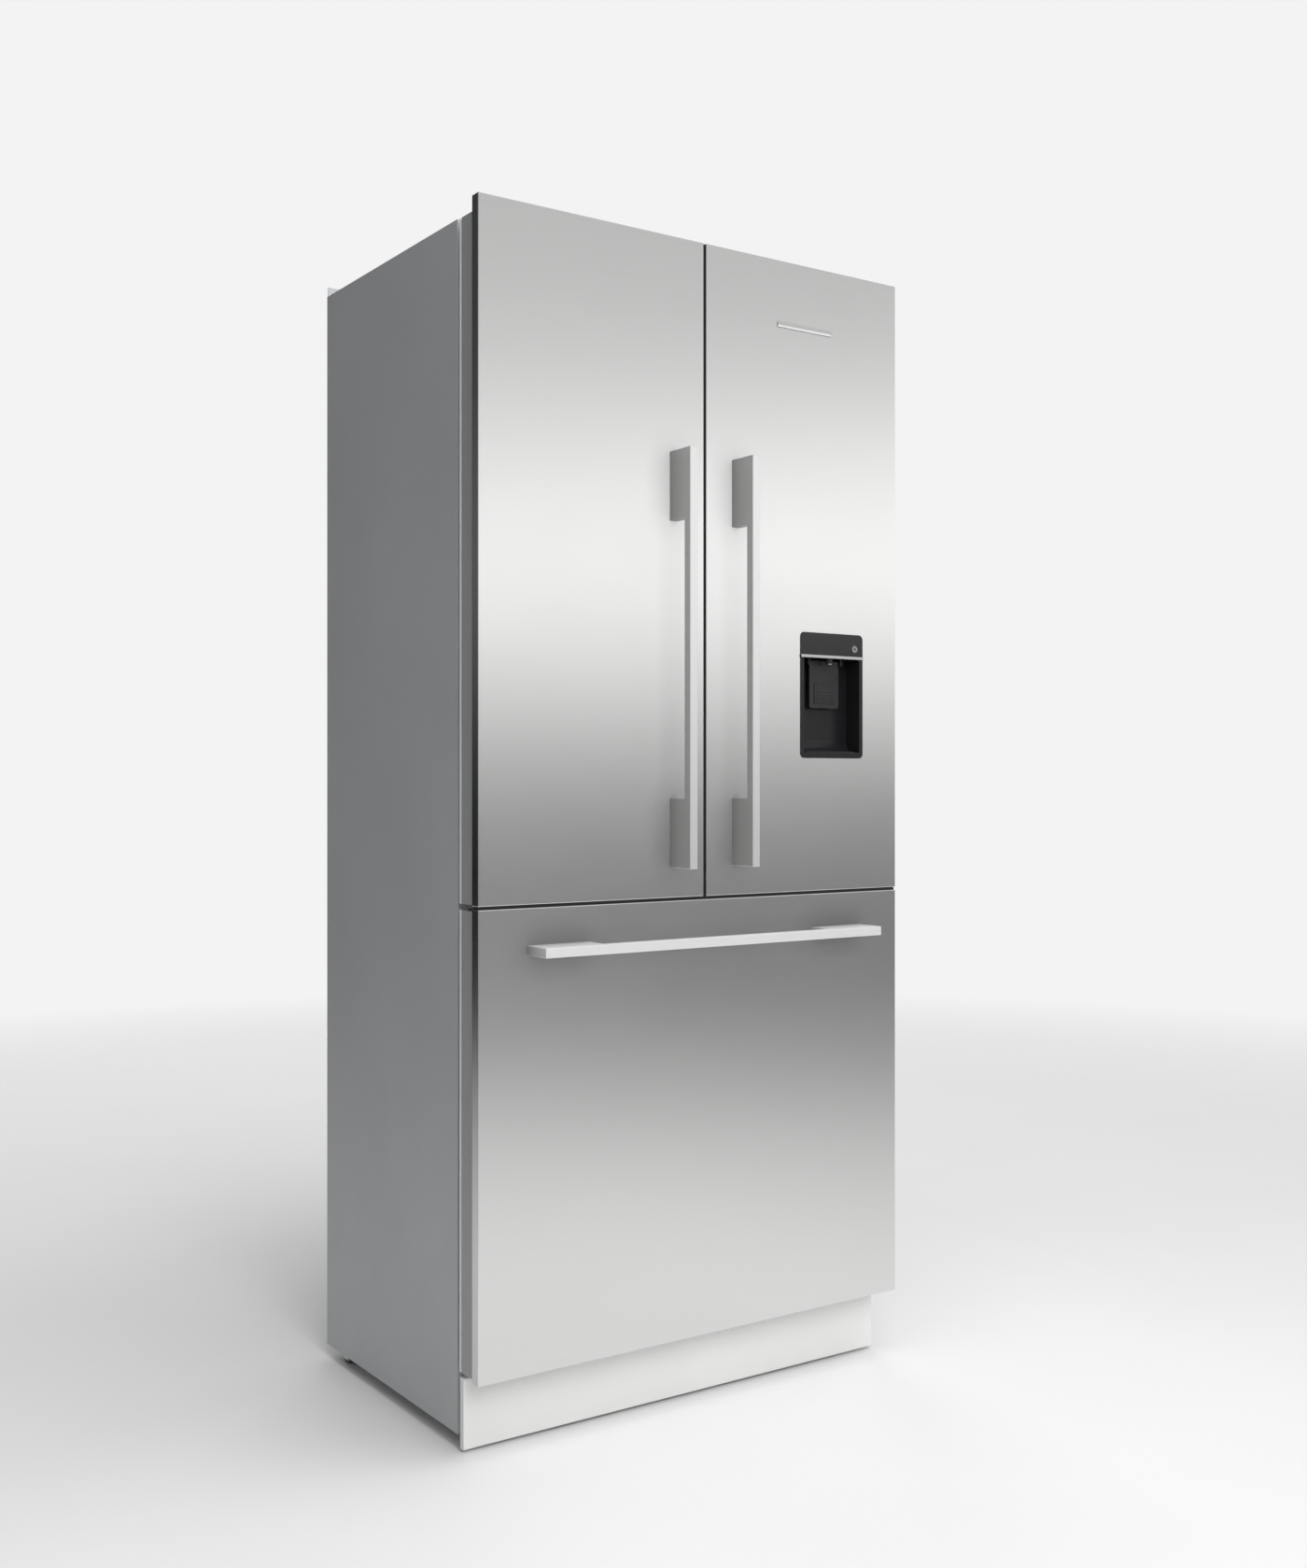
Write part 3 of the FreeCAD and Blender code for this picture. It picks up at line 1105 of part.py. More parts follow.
def shelves():
    frames, panes = [], []
    back = "(y_rear_wall - duct_depth - 4)"
    for index in SHELVES:
        low, start, side = shelf_level(index), shelf_start(index), "cavity_half - shelf_play"
        plate = block("shelf_plate", across(side), (start, back), (low, f"{low} + shelf_thick"))
        seat_cut = block("shelf_seat_cut", across(f"{side} - shelf_seat"),
                         (f"{start} + shelf_seat", f"{back} - shelf_seat"),
                         (f"{low} + shelf_thick - glass_thick", f"{low} + shelf_thick + 1"))
        opening = block("shelf_opening", across(f"{side} - shelf_rim"),
                        (f"{start} + shelf_rim", f"{back} - shelf_rim"),
                        (f"{low} - 1", f"{low} + shelf_thick + 1"))
        frames.append(cut(f"shelf_frame_{index}", plate, seat_cut, opening))
        panes.append(block(f"shelf_pane_{index}", across(f"{side} - shelf_seat - 0.5"),
                           (f"{start} + shelf_seat + 0.5", f"{back} - shelf_seat - 0.5"),
                           (f"{low} + shelf_thick - glass_thick", f"{low} + shelf_thick")))
    node("shelf_frames", gather("shelf_frames", *frames))
    node("shelf_glass", gather("shelf_glass", *panes))


def crisper(label, side):
    """Vegetable drawer with a grip along the middle of its front."""
    x = mirrored(side, "crisper_middle", "cavity_half - crisper_inset")
    front = "(y_cabinet + crisper_front)"
    top = "(z_crisper + crisper_height)"
    box = tub(f"{label}_tub", x, (front, "y_rear_wall - duct_depth - 12"), ("z_crisper", top),
              "crisper_wall", "crisper_corner")
    middle = f"(({x[0]} + {x[1]}) / 2)"
    grip = block(f"{label}_grip", (f"{middle} - 70", f"{middle} + 70"), (f"{front} - 13", f"{front} + 1"),
                 (f"{top} - 14", f"{top} - 4"))
    scoop = block(f"{label}_scoop", (f"{middle} - 66", f"{middle} + 66"), (f"{front} - 10", front),
                  (f"{top} - 20", f"{top} - 7"))
    node(label, join(label, box, cut(f"{label}_hook", grip, scoop)))


def air_duct():
    """Cover over the fresh food air duct, with a slot at every shelf."""
    low, high = "(z_crisper_shelf + 30)", "(z_roof - 30)"
    body = new_body("fridge_duct_cover", ("-duct_half", "y_rear_wall", low), FACING)
    slab = pad(body, rectangle(body, ("0", "2 * duct_half"), ("0", f"{high} - {low}")), "duct_depth")
    fillet(body, slab, "duct_depth / 3", level(measure("duct_depth")))
    slots = []
    for index in range(8):
        start = f"({low} + ({high} - {low}) * {round((index + 0.5) / 8, 4)})"
        slots.append(block("duct_slot", across("duct_half * 0.62"),
                           ("y_rear_wall - duct_depth - 1", "y_rear_wall - 4"),
                           (start, f"{start} + duct_slot")))
    node("fridge_duct_cover", cut("fridge_duct", body, *slots))


# ---------------------------------------------------------------------------------------------
# Freezer cavity: evaporator, slides, basket, tray
# ---------------------------------------------------------------------------------------------


def evaporator():
    front = "(y_rear_wall - evaporator_room)"
    low, high = "(z_step + 6)", "(z_divider_low - 6)"
    shell = block("evaporator_shell", across("cavity_half - 2"), (front, "y_rear_wall"), (low, high))
    room = block("evaporator_hollow", across("cavity_half - 5"), (f"{front} + 3", "y_rear_wall + 1"),
                 (f"{low} + 3", f"{high} - 3"))
    slots = []
    for index in range(5):
        start = f"({high} - 70 + {12 * index})"
        slots.append(block("evaporator_slot", across("cavity_half * 0.55"), (f"{front} - 1", f"{front} + 4"),
                           (start, f"{start} + 6")))
    node("evaporator_cover", cut("evaporator_cover", shell, room, *slots))
    run, pitch, passes = measure("cavity_half * 1.4"), 26, 8
    start = Vector(-run / 2, measure("y_rear_wall - evaporator_room / 2"), measure(f"{low} + 60"))
    coil = shaped("evaporator_coil", serpentine("coil", start, run, pitch, passes, 4))
    count = 14
    fins = [
        block("evaporator_fin", (f"cavity_half * {round(-0.65 + 1.3 * i / (count - 1), 4)}",
                                 f"cavity_half * {round(-0.65 + 1.3 * i / (count - 1), 4)} + 0.8"),
              ("y_rear_wall - evaporator_room / 2 - 22", "y_rear_wall"),
              (f"{low} + 50", f"{low} + 70 + {pitch * (passes - 1)}"))
        for i in range(count)
    ]
    node("evaporator", join("evaporator", coil, *fins))


def channel(name, side, near, far, half_height, y, open_to_wall):
    """A C section along Y. near and far are distances from the cavity wall."""
    web = (far, near) if open_to_wall else (near, far)
    web_end = f"{web[0]} - slide_sheet" if open_to_wall else f"{web[0]} + slide_sheet"
    web_low, web_high = (web_end, web[0]) if open_to_wall else (web[0], web_end)

    def span(low, high):
        return mirrored(side, f"cavity_half - ({high})", f"cavity_half - ({low})")

    pieces = [block(f"{name}_web", span(web_low, web_high), y,
                    (f"z_slides - {half_height}", f"z_slides + {half_height}"))]
    for low, high in ((f"z_slides - {half_height}", f"z_slides - {half_height} + slide_sheet"),
                      (f"z_slides + {half_height} - slide_sheet", f"z_slides + {half_height}")):
        pieces.append(block(f"{name}_flange", span(near, far), y, (low, high)))
    return join(name, *pieces)


def slides():
    fixed_y = ("y_cabinet + slide_front", "y_cabinet + slide_front + slide_length")
    moving_y = ("y_cabinet + drawer_dike", "y_cabinet + drawer_dike + slide_length - 12")
    sides = (-1, 1)
    outer = [channel(f"slide_outer_{s + 1}", s, "0", "slide_stack - 2", "slide_outer_half", fixed_y, False)
             for s in sides]
    middle = [channel(f"slide_middle_{s + 1}", s, "3", "slide_stack - 2", "slide_middle_half", fixed_y, False)
              for s in sides]
    inner = [channel(f"slide_inner_{s + 1}", s, "6", "slide_stack", "slide_inner_half", moving_y, True)
             for s in sides]
    node("freezer_slide_outers", gather("freezer_slide_outers", *outer))
    node("freezer_slide_middles", gather("freezer_slide_middles", *middle))
    node("freezer_slide_inners", gather("freezer_slide_inners", *inner))


def basket():
    """Deep freezer basket with a step that clears the machine bay. It hangs between the slides."""
    half, front = "(cavity_half - slide_stack)", "(y_cabinet + basket_front)"
    deep = "(y_rear_wall - evaporator_room - basket_clear)"
    short = "(y_step - basket_clear)"
    low, step, top = "(z_floor + basket_clear)", "(z_step + basket_clear)", "(z_slides + 19)"

    def body_of(name, inset):
        x, y_near, z_high = across(f"{half} - {inset}"), f"{front} + {inset}", f"{top} + ({inset})"
        lower = block(f"{name}_lower", x, (y_near, f"{short} - {inset}"), (f"{low} + {inset}", z_high))
        upper = block(f"{name}_upper", x, (y_near, f"{deep} - {inset}"), (f"{step} + {inset}", z_high))
        return join(name, lower, upper)

    shell, room = body_of("basket_shell", "0"), body_of("basket_room", "basket_wall")
    node("freezer_basket", cut("freezer_basket", shell, room))


def tray():
    """Shallow tray over the basket. Its side flanges run on the liner's ledges."""
    half = "(cavity_half - tray_flange)"
    y = ("y_cabinet + tray_front", "y_rear_wall - evaporator_room - basket_clear")
    low = "(z_tray_ledge - 2 * ledge_thick)"
    box = tub("tray_tub", across(half), y, (low, f"{low} + tray_height"), "basket_wall", "crisper_corner")
    runners = [
        block("tray_runner", mirrored(side, f"{half} - 1", "cavity_half - 2"),
              (f"{y[0]} + 20", f"{y[1]} - 20"),
              ("z_tray_ledge + slide_play", "z_tray_ledge + slide_play + 4"))
        for side in (-1, 1)
    ]
    divider = block("tray_divider", ("-basket_wall / 2", "basket_wall / 2"), (f"{y[0]} + 1", f"{y[1]} - 1"),
                    (f"{low} + 1", f"{low} + tray_height * 0.8"))
    node("freezer_tray", join("freezer_tray", box, divider, *runners))


# ---------------------------------------------------------------------------------------------
# Freezer drawer
# ---------------------------------------------------------------------------------------------


def drawer():
    low, top = "(kick_height + door_inset)", "(z_seam - 2 * door_inset + 1.5)"
    body = new_body("drawer_door", ("-half + door_inset", "y_door", low))
    slab = pad(body, rectangle(body, ("0", "2 * (half - door_inset)"), ("0", "door_depth - door_liner")),
               f"{top} - {low}")
    fillet(body, slab, "door_corner", along("z"))
    fill = core("drawer", across("half"), ("kick_height", "z_drawer_top"))
    node("drawer_door", join("drawer_filled", body, fill))
    skin = block("drawer_skin", across("half - door_inset"), ("y_inner - door_liner", "y_inner"), (low, top))
    rim = ring("drawer_rim", across("cavity_half - drawer_rim_gap"), ("y_inner", "y_cabinet + drawer_dike"),
               ("z_floor + 8", "z_divider_low - 8"), "(dike_wall + 2)")
    node("drawer_liner", join("drawer_liner", skin, rim))
    node("drawer_seal", ring("drawer_seal", across("cavity_half + seal_width + 4"),
                             ("y_inner", "y_cabinet - seal_play"),
                             ("z_floor - seal_width + 2", "z_divider_low + seal_width - 2"), "seal_width"))


# ---------------------------------------------------------------------------------------------
# Assembly
# ---------------------------------------------------------------------------------------------

side_panel("side_panel_left", -1)
side_panel("side_panel_right", 1)
top_panel()
back_panel()
insulation()
fridge_liner()
freezer_liner()
cross_rail()
chassis()
toe_kick()
foot("foot_left", -1)
foot("foot_right", 1)
roller("roller_left", -1)
roller("roller_right", 1)
compressor()
condenser()
fan()
bay_parts()
machine_cover()
hinges()
fascia("left_fascia", ("-half", "-panel_gap / 2"), ("z_door_low", "z_top"))
fascia("right_fascia", ("panel_gap / 2", "half"), ("z_door_low", "z_top"),
       window=("(dispenser_side - dispenser_width / 2 - panel_gap / 2)", "(dispenser_rise)",
               "dispenser_width", "dispenser_height"))
fascia("drawer_fascia", ("-half", "half"), ("kick_height", "z_drawer_top"))
handle("left_handle", ("-handle_seam + handle_bar / 2", "y_handle", "z_door_low + handle_rise"), UPRIGHT)
handle("right_handle", ("handle_seam + handle_bar / 2", "y_handle", "z_door_low + handle_rise"), UPRIGHT)
handle("drawer_handle", ("-handle_length / 2", "y_handle", "z_drawer_top - handle_drop - handle_bar / 2"),
       Rotation())
for door_side, word in ((-1, "left"), (1, "right")):
    door_case(f"{word}_door", door_side)
    door_liner_piece(f"{word}_door_liner", door_side)
    door_seal(f"{word}_seal", door_side)
    door_bins(f"{word}_door_bins", door_side)
    crisper(f"{word}_crisper", door_side)
mullion()
dispenser()
shelves()
air_duct()
evaporator()
slides()
basket()
tray()
drawer()

doc.recompute()

# ---------------------------------------------------------------------------------------------
# Checks and export
# ---------------------------------------------------------------------------------------------

broken = [thing.Label for thing in doc.Objects if {"Invalid", "Error"} & set(thing.State)]
if broken:
    raise RuntimeError(f"these objects failed: {broken}")
for label, thing in nodes.items():
    if thing.Shape.isNull() or not thing.Shape.isValid() or not thing.Shape.Solids:
        raise RuntimeError(f"{label} has no valid solid")

os.makedirs("parts", exist_ok=True)
for old in os.listdir("parts"):
    if old.endswith(".step"):
        os.remove(os.path.join("parts", old))
for label, thing in nodes.items():
    thing.Shape.exportStep(os.path.join("parts", f"{label}.step"))
print(f"{len(nodes)} nodes")
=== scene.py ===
"""Looks of the french door refrigerator: finishes, small fittings, floor, light and camera."""

import json
import math

import bmesh
import bpy
from mathutils import Matrix, Vector


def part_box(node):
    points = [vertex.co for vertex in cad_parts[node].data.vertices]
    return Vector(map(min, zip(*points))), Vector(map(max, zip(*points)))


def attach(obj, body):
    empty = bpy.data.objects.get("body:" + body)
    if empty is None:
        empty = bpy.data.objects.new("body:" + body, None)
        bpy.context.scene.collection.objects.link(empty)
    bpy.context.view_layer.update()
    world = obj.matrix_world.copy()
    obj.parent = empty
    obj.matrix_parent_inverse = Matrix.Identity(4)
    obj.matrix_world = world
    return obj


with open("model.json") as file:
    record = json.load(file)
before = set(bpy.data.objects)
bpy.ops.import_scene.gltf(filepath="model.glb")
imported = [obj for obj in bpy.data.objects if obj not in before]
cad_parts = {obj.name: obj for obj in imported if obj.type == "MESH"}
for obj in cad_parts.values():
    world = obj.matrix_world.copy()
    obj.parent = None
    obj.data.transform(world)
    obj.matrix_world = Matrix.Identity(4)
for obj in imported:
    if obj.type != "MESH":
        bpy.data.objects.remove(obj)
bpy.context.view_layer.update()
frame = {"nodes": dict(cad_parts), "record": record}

nodes = frame["nodes"]
scene = bpy.context.scene

# ---------------------------------------------------------------------------------------------
# Camera: level, to the left of the doors, at about chest height
# ---------------------------------------------------------------------------------------------

LENS_MM = 37.92972
SHIFT_SHARE = -0.0020846

camera_data = bpy.data.cameras.new("camera")
camera_data.sensor_fit = "AUTO"
camera_data.sensor_width = 36
camera_data.lens = LENS_MM
camera_data.shift_y = SHIFT_SHARE
camera_data.clip_end = 200
camera = bpy.data.objects.new("camera", camera_data)
camera.location = (-1.7065, -2.602, 1.0936)
camera.rotation_euler = (math.radians(90), 0, math.radians(-34.47))
scene.collection.objects.link(camera)
scene.camera = camera
scene.view_settings.view_transform = "Standard"

# ---------------------------------------------------------------------------------------------
# Node helpers
# ---------------------------------------------------------------------------------------------


def srgb(value):
    """Linear light of an 8 bit tone."""
    share = value / 255
    return share / 12.92 if share <= 0.04045 else ((share + 0.055) / 1.055) ** 2.4


class Finish:
    """A material under construction: one Principled shader and the textures that feed it."""

    def __init__(self, name, color, roughness, metallic=0.0, **sockets):
        self.material = bpy.data.materials.new(name)
        self.material.use_nodes = True
        self.tree = self.material.node_tree
        self.shader = self.tree.nodes["Principled BSDF"]
        self.color = tuple(color)
        self.roughness = roughness
        self.set(Metallic=metallic, Roughness=roughness)
        self.shader.inputs["Base Color"].default_value = (*color, 1)
        for socket, value in sockets.items():
            self.shader.inputs[socket.replace("_", " ")].default_value = value
        self.place = self.tree.nodes.new("ShaderNodeTexCoord").outputs["Object"]

    def set(self, **sockets):
        for socket, value in sockets.items():
            self.shader.inputs[socket].default_value = value

    def link(self, out, into):
        self.tree.links.new(out, into)

    def add(self, kind, **settings):
        node = self.tree.nodes.new(kind)
        for name, value in settings.items():
            setattr(node, name, value)
        return node

    def noise(self, scale, stretch=(1, 1, 1), detail=4.0, rough=0.55):
        mapping = self.add("ShaderNodeMapping")
        mapping.inputs["Scale"].default_value = stretch
        self.link(self.place, mapping.inputs["Vector"])
        noise = self.add("ShaderNodeTexNoise")
        noise.inputs["Scale"].default_value = scale
        noise.inputs["Detail"].default_value = detail
        noise.inputs["Roughness"].default_value = rough
        self.link(mapping.outputs["Vector"], noise.inputs["Vector"])
        return noise.outputs["Fac"]

    def remap(self, value, low, high, start=0.3, end=0.7):
        """value between start and end becomes low to high."""
        ranged = self.add("ShaderNodeMapRange")
        ranged.inputs["From Min"].default_value = start
        ranged.inputs["From Max"].default_value = end
        ranged.inputs["To Min"].default_value = low
        ranged.inputs["To Max"].default_value = high
        self.link(value, ranged.inputs["Value"])
        return ranged.outputs["Result"]

    def vary_roughness(self, value, spread):
        ranged = self.remap(value, self.roughness - spread, self.roughness + spread)
        self.link(ranged, self.shader.inputs["Roughness"])
        return self

    def vary_color(self, value, low, high):
        """The base colour times low to high."""
        mixed = self.add("ShaderNodeMix", data_type="RGBA")
        mixed.inputs["A"].default_value = (*(c * low for c in self.color), 1)
        mixed.inputs["B"].default_value = (*(min(1.0, c * high) for c in self.color), 1)
        self.link(self.remap(value, 0, 1), mixed.inputs["Factor"])
        self.link(mixed.outputs["Result"], self.shader.inputs["Base Color"])
        return self

    def shade_near(self, distance, depth):
        """A soft contact shade: the base colour darkens where something stands close in front of it."""
        near = self.add("ShaderNodeAmbientOcclusion", samples=8)
        near.inputs["Distance"].default_value = distance
        deeper = self.add("ShaderNodeMath", operation="POWER")
        deeper.inputs[1].default_value = depth
        self.link(near.outputs["AO"], deeper.inputs[0])
        mixed = self.add("ShaderNodeMix", data_type="RGBA", blend_type="MULTIPLY")
        mixed.inputs["Factor"].default_value = 1
        base = self.shader.inputs["Base Color"]
        self.link(base.links[0].from_socket, mixed.inputs["A"])
        self.link(deeper.outputs[0], mixed.inputs["B"])
        self.link(mixed.outputs["Result"], base)
        return self

    def bump(self, value, strength, distance):
        bump = self.add("ShaderNodeBump")
        bump.inputs["Strength"].default_value = strength
        bump.inputs["Distance"].default_value = distance
        self.link(value, bump.inputs["Height"])
        self.link(bump.outputs["Normal"], self.shader.inputs["Normal"])
        return self


# ---------------------------------------------------------------------------------------------
# Finishes
# ---------------------------------------------------------------------------------------------


def brushed(name, color, roughness, stretch, grain, anisotropy=0.6, turn=0.25, metallic=1.0, contact=0):
    """Steel with a fine grain: hair lines, a slow cloudiness and a reflection smeared across the grain.

    stretch is how fine the hair lines are on each axis. contact is the depth of the shade near other pieces.
    """
    finish = Finish(name, color, roughness, metallic, Anisotropic=anisotropy, Anisotropic_Rotation=turn)
    hair = finish.noise(grain, stretch, detail=6, rough=0.7)
    cloud = finish.noise(2.2, (1, 1, 1.6), detail=3)
    both = finish.add("ShaderNodeMath", operation="ADD")
    scaled = finish.add("ShaderNodeMath", operation="MULTIPLY")
    scaled.inputs[1].default_value = 0.35
    finish.link(cloud, scaled.inputs[0])
    finish.link(hair, both.inputs[0])
    finish.link(scaled.outputs[0], both.inputs[1])
    finish.vary_color(hair, 0.985, 1.015)
    finish.link(finish.remap(both.outputs[0], roughness - 0.015, roughness + 0.02, 0.45, 0.9),
                finish.shader.inputs["Roughness"])
    finish.bump(hair, 0.004, 0.00005)
    if contact:
        finish.shade_near(CONTACT_REACH, contact)
    return finish.material


def painted(name, color, roughness, peel=0.05):
    """Powder coat: a slight orange peel and a slow change of gloss."""
    finish = Finish(name, color, roughness)
    finish.vary_color(finish.noise(3, detail=3), 0.96, 1.03)
    finish.vary_roughness(finish.noise(14), 0.05)
    finish.bump(finish.noise(900, detail=2), peel, 0.0002)
    return finish.material


def moulded(name, color, roughness, grain=600, depth=0.05, **sockets):
    """Injection moulded plastic with a fine even texture."""
    finish = Finish(name, color, roughness, **sockets)
    finish.vary_color(finish.noise(5, detail=3), 0.97, 1.02)
    finish.vary_roughness(finish.noise(25), 0.04)
    finish.bump(finish.noise(grain, detail=3), depth, 0.0002)
    return finish.material


def clear(name, color, roughness, alpha):
    """Clear plastic, with faint clouding from moulding."""
    finish = Finish(name, color, roughness, Alpha=alpha, IOR=1.49)
    finish.vary_color(finish.noise(12, detail=3), 0.96, 1.02)
    finish.vary_roughness(finish.noise(40), 0.03)
    finish.bump(finish.noise(120, detail=2), 0.03, 0.0003)
    return finish.material


def galvanised(name, color, roughness):
    """Zinc plate with soft crystal flakes."""
    finish = Finish(name, color, roughness, metallic=0.85)
    flakes = finish.add("ShaderNodeTexVoronoi")
    flakes.inputs["Scale"].default_value = 70
    finish.link(finish.place, flakes.inputs["Vector"])
    finish.vary_color(flakes.outputs["Color"], 0.88, 1.06)
    finish.vary_roughness(finish.noise(30), 0.08)
    return finish.material


def glowing(name, color, strength):
    """Frosted lamp lens with a dimmer rim to its diffuser pattern."""
    finish = Finish(name, color, 0.35)
    finish.shader.inputs["Emission Color"].default_value = (*color, 1)
    finish.shader.inputs["Emission Strength"].default_value = strength
    finish.vary_color(finish.noise(300), 0.95, 1.0)
    finish.bump(finish.noise(500), 0.1, 0.0003)
    return finish.material


def dispenser_black():
    """Gloss above the ledge, satin in the recess below it."""
    low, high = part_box("dispenser_spout")
    finish = Finish("dispenser_black", (0.013, 0.013, 0.015), 0.3, Specular_IOR_Level=0.28)
    split = finish.add("ShaderNodeSeparateXYZ")
    finish.link(finish.place, split.inputs["Vector"])
    panel = finish.remap(split.outputs["Z"], 0.0, 1.0, high.z, high.z + 0.0005)
    mixed = finish.add("ShaderNodeMix", data_type="FLOAT")
    finish.link(panel, mixed.inputs["Factor"])
    finish.link(finish.remap(finish.noise(40), 0.26, 0.36), mixed.inputs["A"])
    mixed.inputs["B"].default_value = 0.08
    finish.link(mixed.outputs["Result"], finish.shader.inputs["Roughness"])
    tone = finish.add("ShaderNodeMix", data_type="RGBA")
    tone.inputs["A"].default_value = (0.010, 0.010, 0.011, 1)
    tone.inputs["B"].default_value = (0.015, 0.015, 0.017, 1)
    finish.link(finish.noise(18), tone.inputs["Factor"])
    finish.link(tone.outputs["Result"], finish.shader.inputs["Base Color"])
    finish.bump(finish.noise(700, detail=2), 0.03, 0.0002)
    return finish.material


CONTACT_REACH = 0.055
ALONG_X = (8, 1400, 1400)
ALONG_Z = (1400, 1400, 8)
finishes = {
    "stainless": brushed("stainless", (0.71, 0.71, 0.705), 0.19, ALONG_X, 1.0, contact=0.5),
    # A lighter, part-diffuse copy of the fronts' stainless: painted light that makes the drawer handle read
    # brighter than the fronts.
    "stainless_bar_painted_lighter": brushed("stainless_bar_painted_lighter", (0.86, 0.86, 0.855), 0.4, ALONG_X, 1.0,
                             anisotropy=0.2, metallic=0.6, contact=0.9),
    # A lighter, part-diffuse copy of the fronts' stainless, with its grain upright: painted light that makes
    # the door handles' faces read brighter than the fronts.
    "stainless_upright_painted_lighter": brushed("stainless_upright_painted_lighter", (0.82, 0.82, 0.815), 0.34, ALONG_Z, 1.0,
                                 anisotropy=0.2, turn=0.0, metallic=0.85, contact=0.35),
    "case_steel": painted("case_steel", (0.42, 0.43, 0.44), 0.42),
    "kick_white": painted("kick_white", (0.78, 0.78, 0.77), 0.38, peel=0.08),
    "black_steel": painted("black_steel", (0.018, 0.018, 0.02), 0.38, peel=0.12),
    "zinc_steel": galvanised("zinc_steel", (0.6, 0.61, 0.62), 0.38),
    "foam": moulded("foam", (0.72, 0.62, 0.38), 0.85, grain=350, depth=0.5),
    "door_grey": painted("door_grey", (0.33, 0.335, 0.34), 0.4),
    "liner_white": moulded("liner_white", (0.83, 0.84, 0.84), 0.22, depth=0.03, Coat_Weight=0.2),
    "shelf_trim": moulded("shelf_trim", (0.74, 0.76, 0.77), 0.3),
    "basket_white": moulded("basket_white", (0.8, 0.82, 0.83), 0.32),
    "bin_clear": clear("bin_clear", (0.86, 0.92, 0.95), 0.09, 0.34),
    "crisper_clear": clear("crisper_clear", (0.84, 0.91, 0.94), 0.12, 0.42),
    "glass": clear("glass", (0.72, 0.86, 0.84), 0.03, 0.26),
    "seal_grey": moulded("seal_grey", (0.30, 0.305, 0.31), 0.62, grain=900, depth=0.15),
    "black_gloss": dispenser_black(),
    "black_matte": moulded("black_matte", (0.018, 0.018, 0.02), 0.5, grain=800, depth=0.2),
    # Near-black for the strips in the gaps between the fronts: painted shade of the gaps.
    "seam_shade_black": moulded("seam_shade_black", (0.012, 0.012, 0.013), 0.6, grain=900, depth=0.1),
    "button_grey": moulded("button_grey", (0.072, 0.074, 0.077), 0.3),
    "ledge_metal": brushed("ledge_metal", (0.45, 0.45, 0.45), 0.2, ALONG_X, 1.0, anisotropy=0.3),
    "bright_metal": brushed("bright_metal", (0.72, 0.72, 0.72), 0.16, ALONG_X, 1.0, anisotropy=0.3),
    "fin_aluminium": brushed("fin_aluminium", (0.76, 0.77, 0.78), 0.34, ALONG_Z, 1.0, turn=0.0),
    "roller_plastic": moulded("roller_plastic", (0.06, 0.06, 0.065), 0.55, grain=500, depth=0.2),
    "copper": brushed("copper", (0.72, 0.36, 0.22), 0.3, ALONG_X, 0.4, anisotropy=0.0),
    "lamp": glowing("lamp", (1.0, 0.97, 0.92), 2.2),
}

FINISH_OF = {
    "left_fascia": "stainless", "right_fascia": "stainless", "drawer_fascia": "stainless",
    "left_handle": "stainless_upright_painted_lighter", "right_handle": "stainless_upright_painted_lighter", "drawer_handle": "stainless_bar_painted_lighter",
    "left_door": "door_grey", "right_door": "door_grey", "drawer_door": "door_grey",
    "dispenser_spout": "ledge_metal",
    "left_door_bins": "bin_clear", "right_door_bins": "bin_clear",
    "left_crisper": "crisper_clear", "right_crisper": "crisper_clear",
    "freezer_basket": "basket_white", "freezer_tray": "basket_white",
}
slot_of = {part["node"]: part["material_slot"] for part in frame["record"]["subparts"]}
for name, thing in nodes.items():
    chosen = finishes[FINISH_OF.get(name, slot_of[name])]
    if not thing.data.materials:
        thing.data.materials.append(chosen)
    for index in range(len(thing.data.materials)):
        thing.data.materials[index] = chosen

# The handles don't show a second time in the fronts.
for name in ("left_handle", "right_handle", "drawer_handle"):
    nodes[name].visible_glossy = False

# ---------------------------------------------------------------------------------------------
# Mesh helpers. Every size and place is in metres, in the row frame.
# ---------------------------------------------------------------------------------------------


def place_piece(name, mesh_builder, finish, body):
    """A piece that mesh_builder shapes, with its finish, riding on body."""
    built = bmesh.new()
    mesh_builder(built)
    bmesh.ops.recalc_face_normals(built, faces=built.faces[:])
    mesh = bpy.data.meshes.new(name)
    built.to_mesh(mesh)
    built.free()
    piece = bpy.data.objects.new(name, mesh)
    scene.collection.objects.link(piece)
    mesh.materials.append(finishes[finish])
    mesh.polygons.foreach_set("use_smooth", [True] * len(mesh.polygons))
    mesh.set_sharp_from_angle(angle=math.radians(35))
    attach(piece, body)


def add_slab(built, low, high, bevel, segments=3):
    """An eased block between two corners."""
    low, high = Vector(low), Vector(high)
    made = bmesh.ops.create_cube(built, size=1)
    for vertex in made["verts"]:
        vertex.co = Vector((low[i] + (vertex.co[i] + 0.5) * (high[i] - low[i])) for i in range(3))
    edges = list({edge for vertex in made["verts"] for edge in vertex.link_edges})
    bmesh.ops.bevel(built, geom=edges, offset=bevel, segments=segments, affect="EDGES", profile=0.5)


TURNED = {"y": Matrix.Rotation(math.radians(-90), 4, "X"), "z": Matrix.Identity(4)}


def add_turned(built, start, axis, profile, count=32):
    """A body of revolution: profile is a list of (distance along the axis, radius)."""
    turn = Matrix.Translation(Vector(start)) @ TURNED[axis]
    rings = []
    for along, radius in profile:
        rings.append([
            built.verts.new(turn @ Vector((radius * math.cos(2 * math.pi * k / count),
                                           radius * math.sin(2 * math.pi * k / count), along)))
            for k in range(count)
        ])
    for first, second in zip(rings, rings[1:]):
        for k in range(count):
            built.faces.new((first[k], first[(k + 1) % count], second[(k + 1) % count], second[k]))
    built.faces.new(rings[0][::-1])
    built.faces.new(rings[-1])


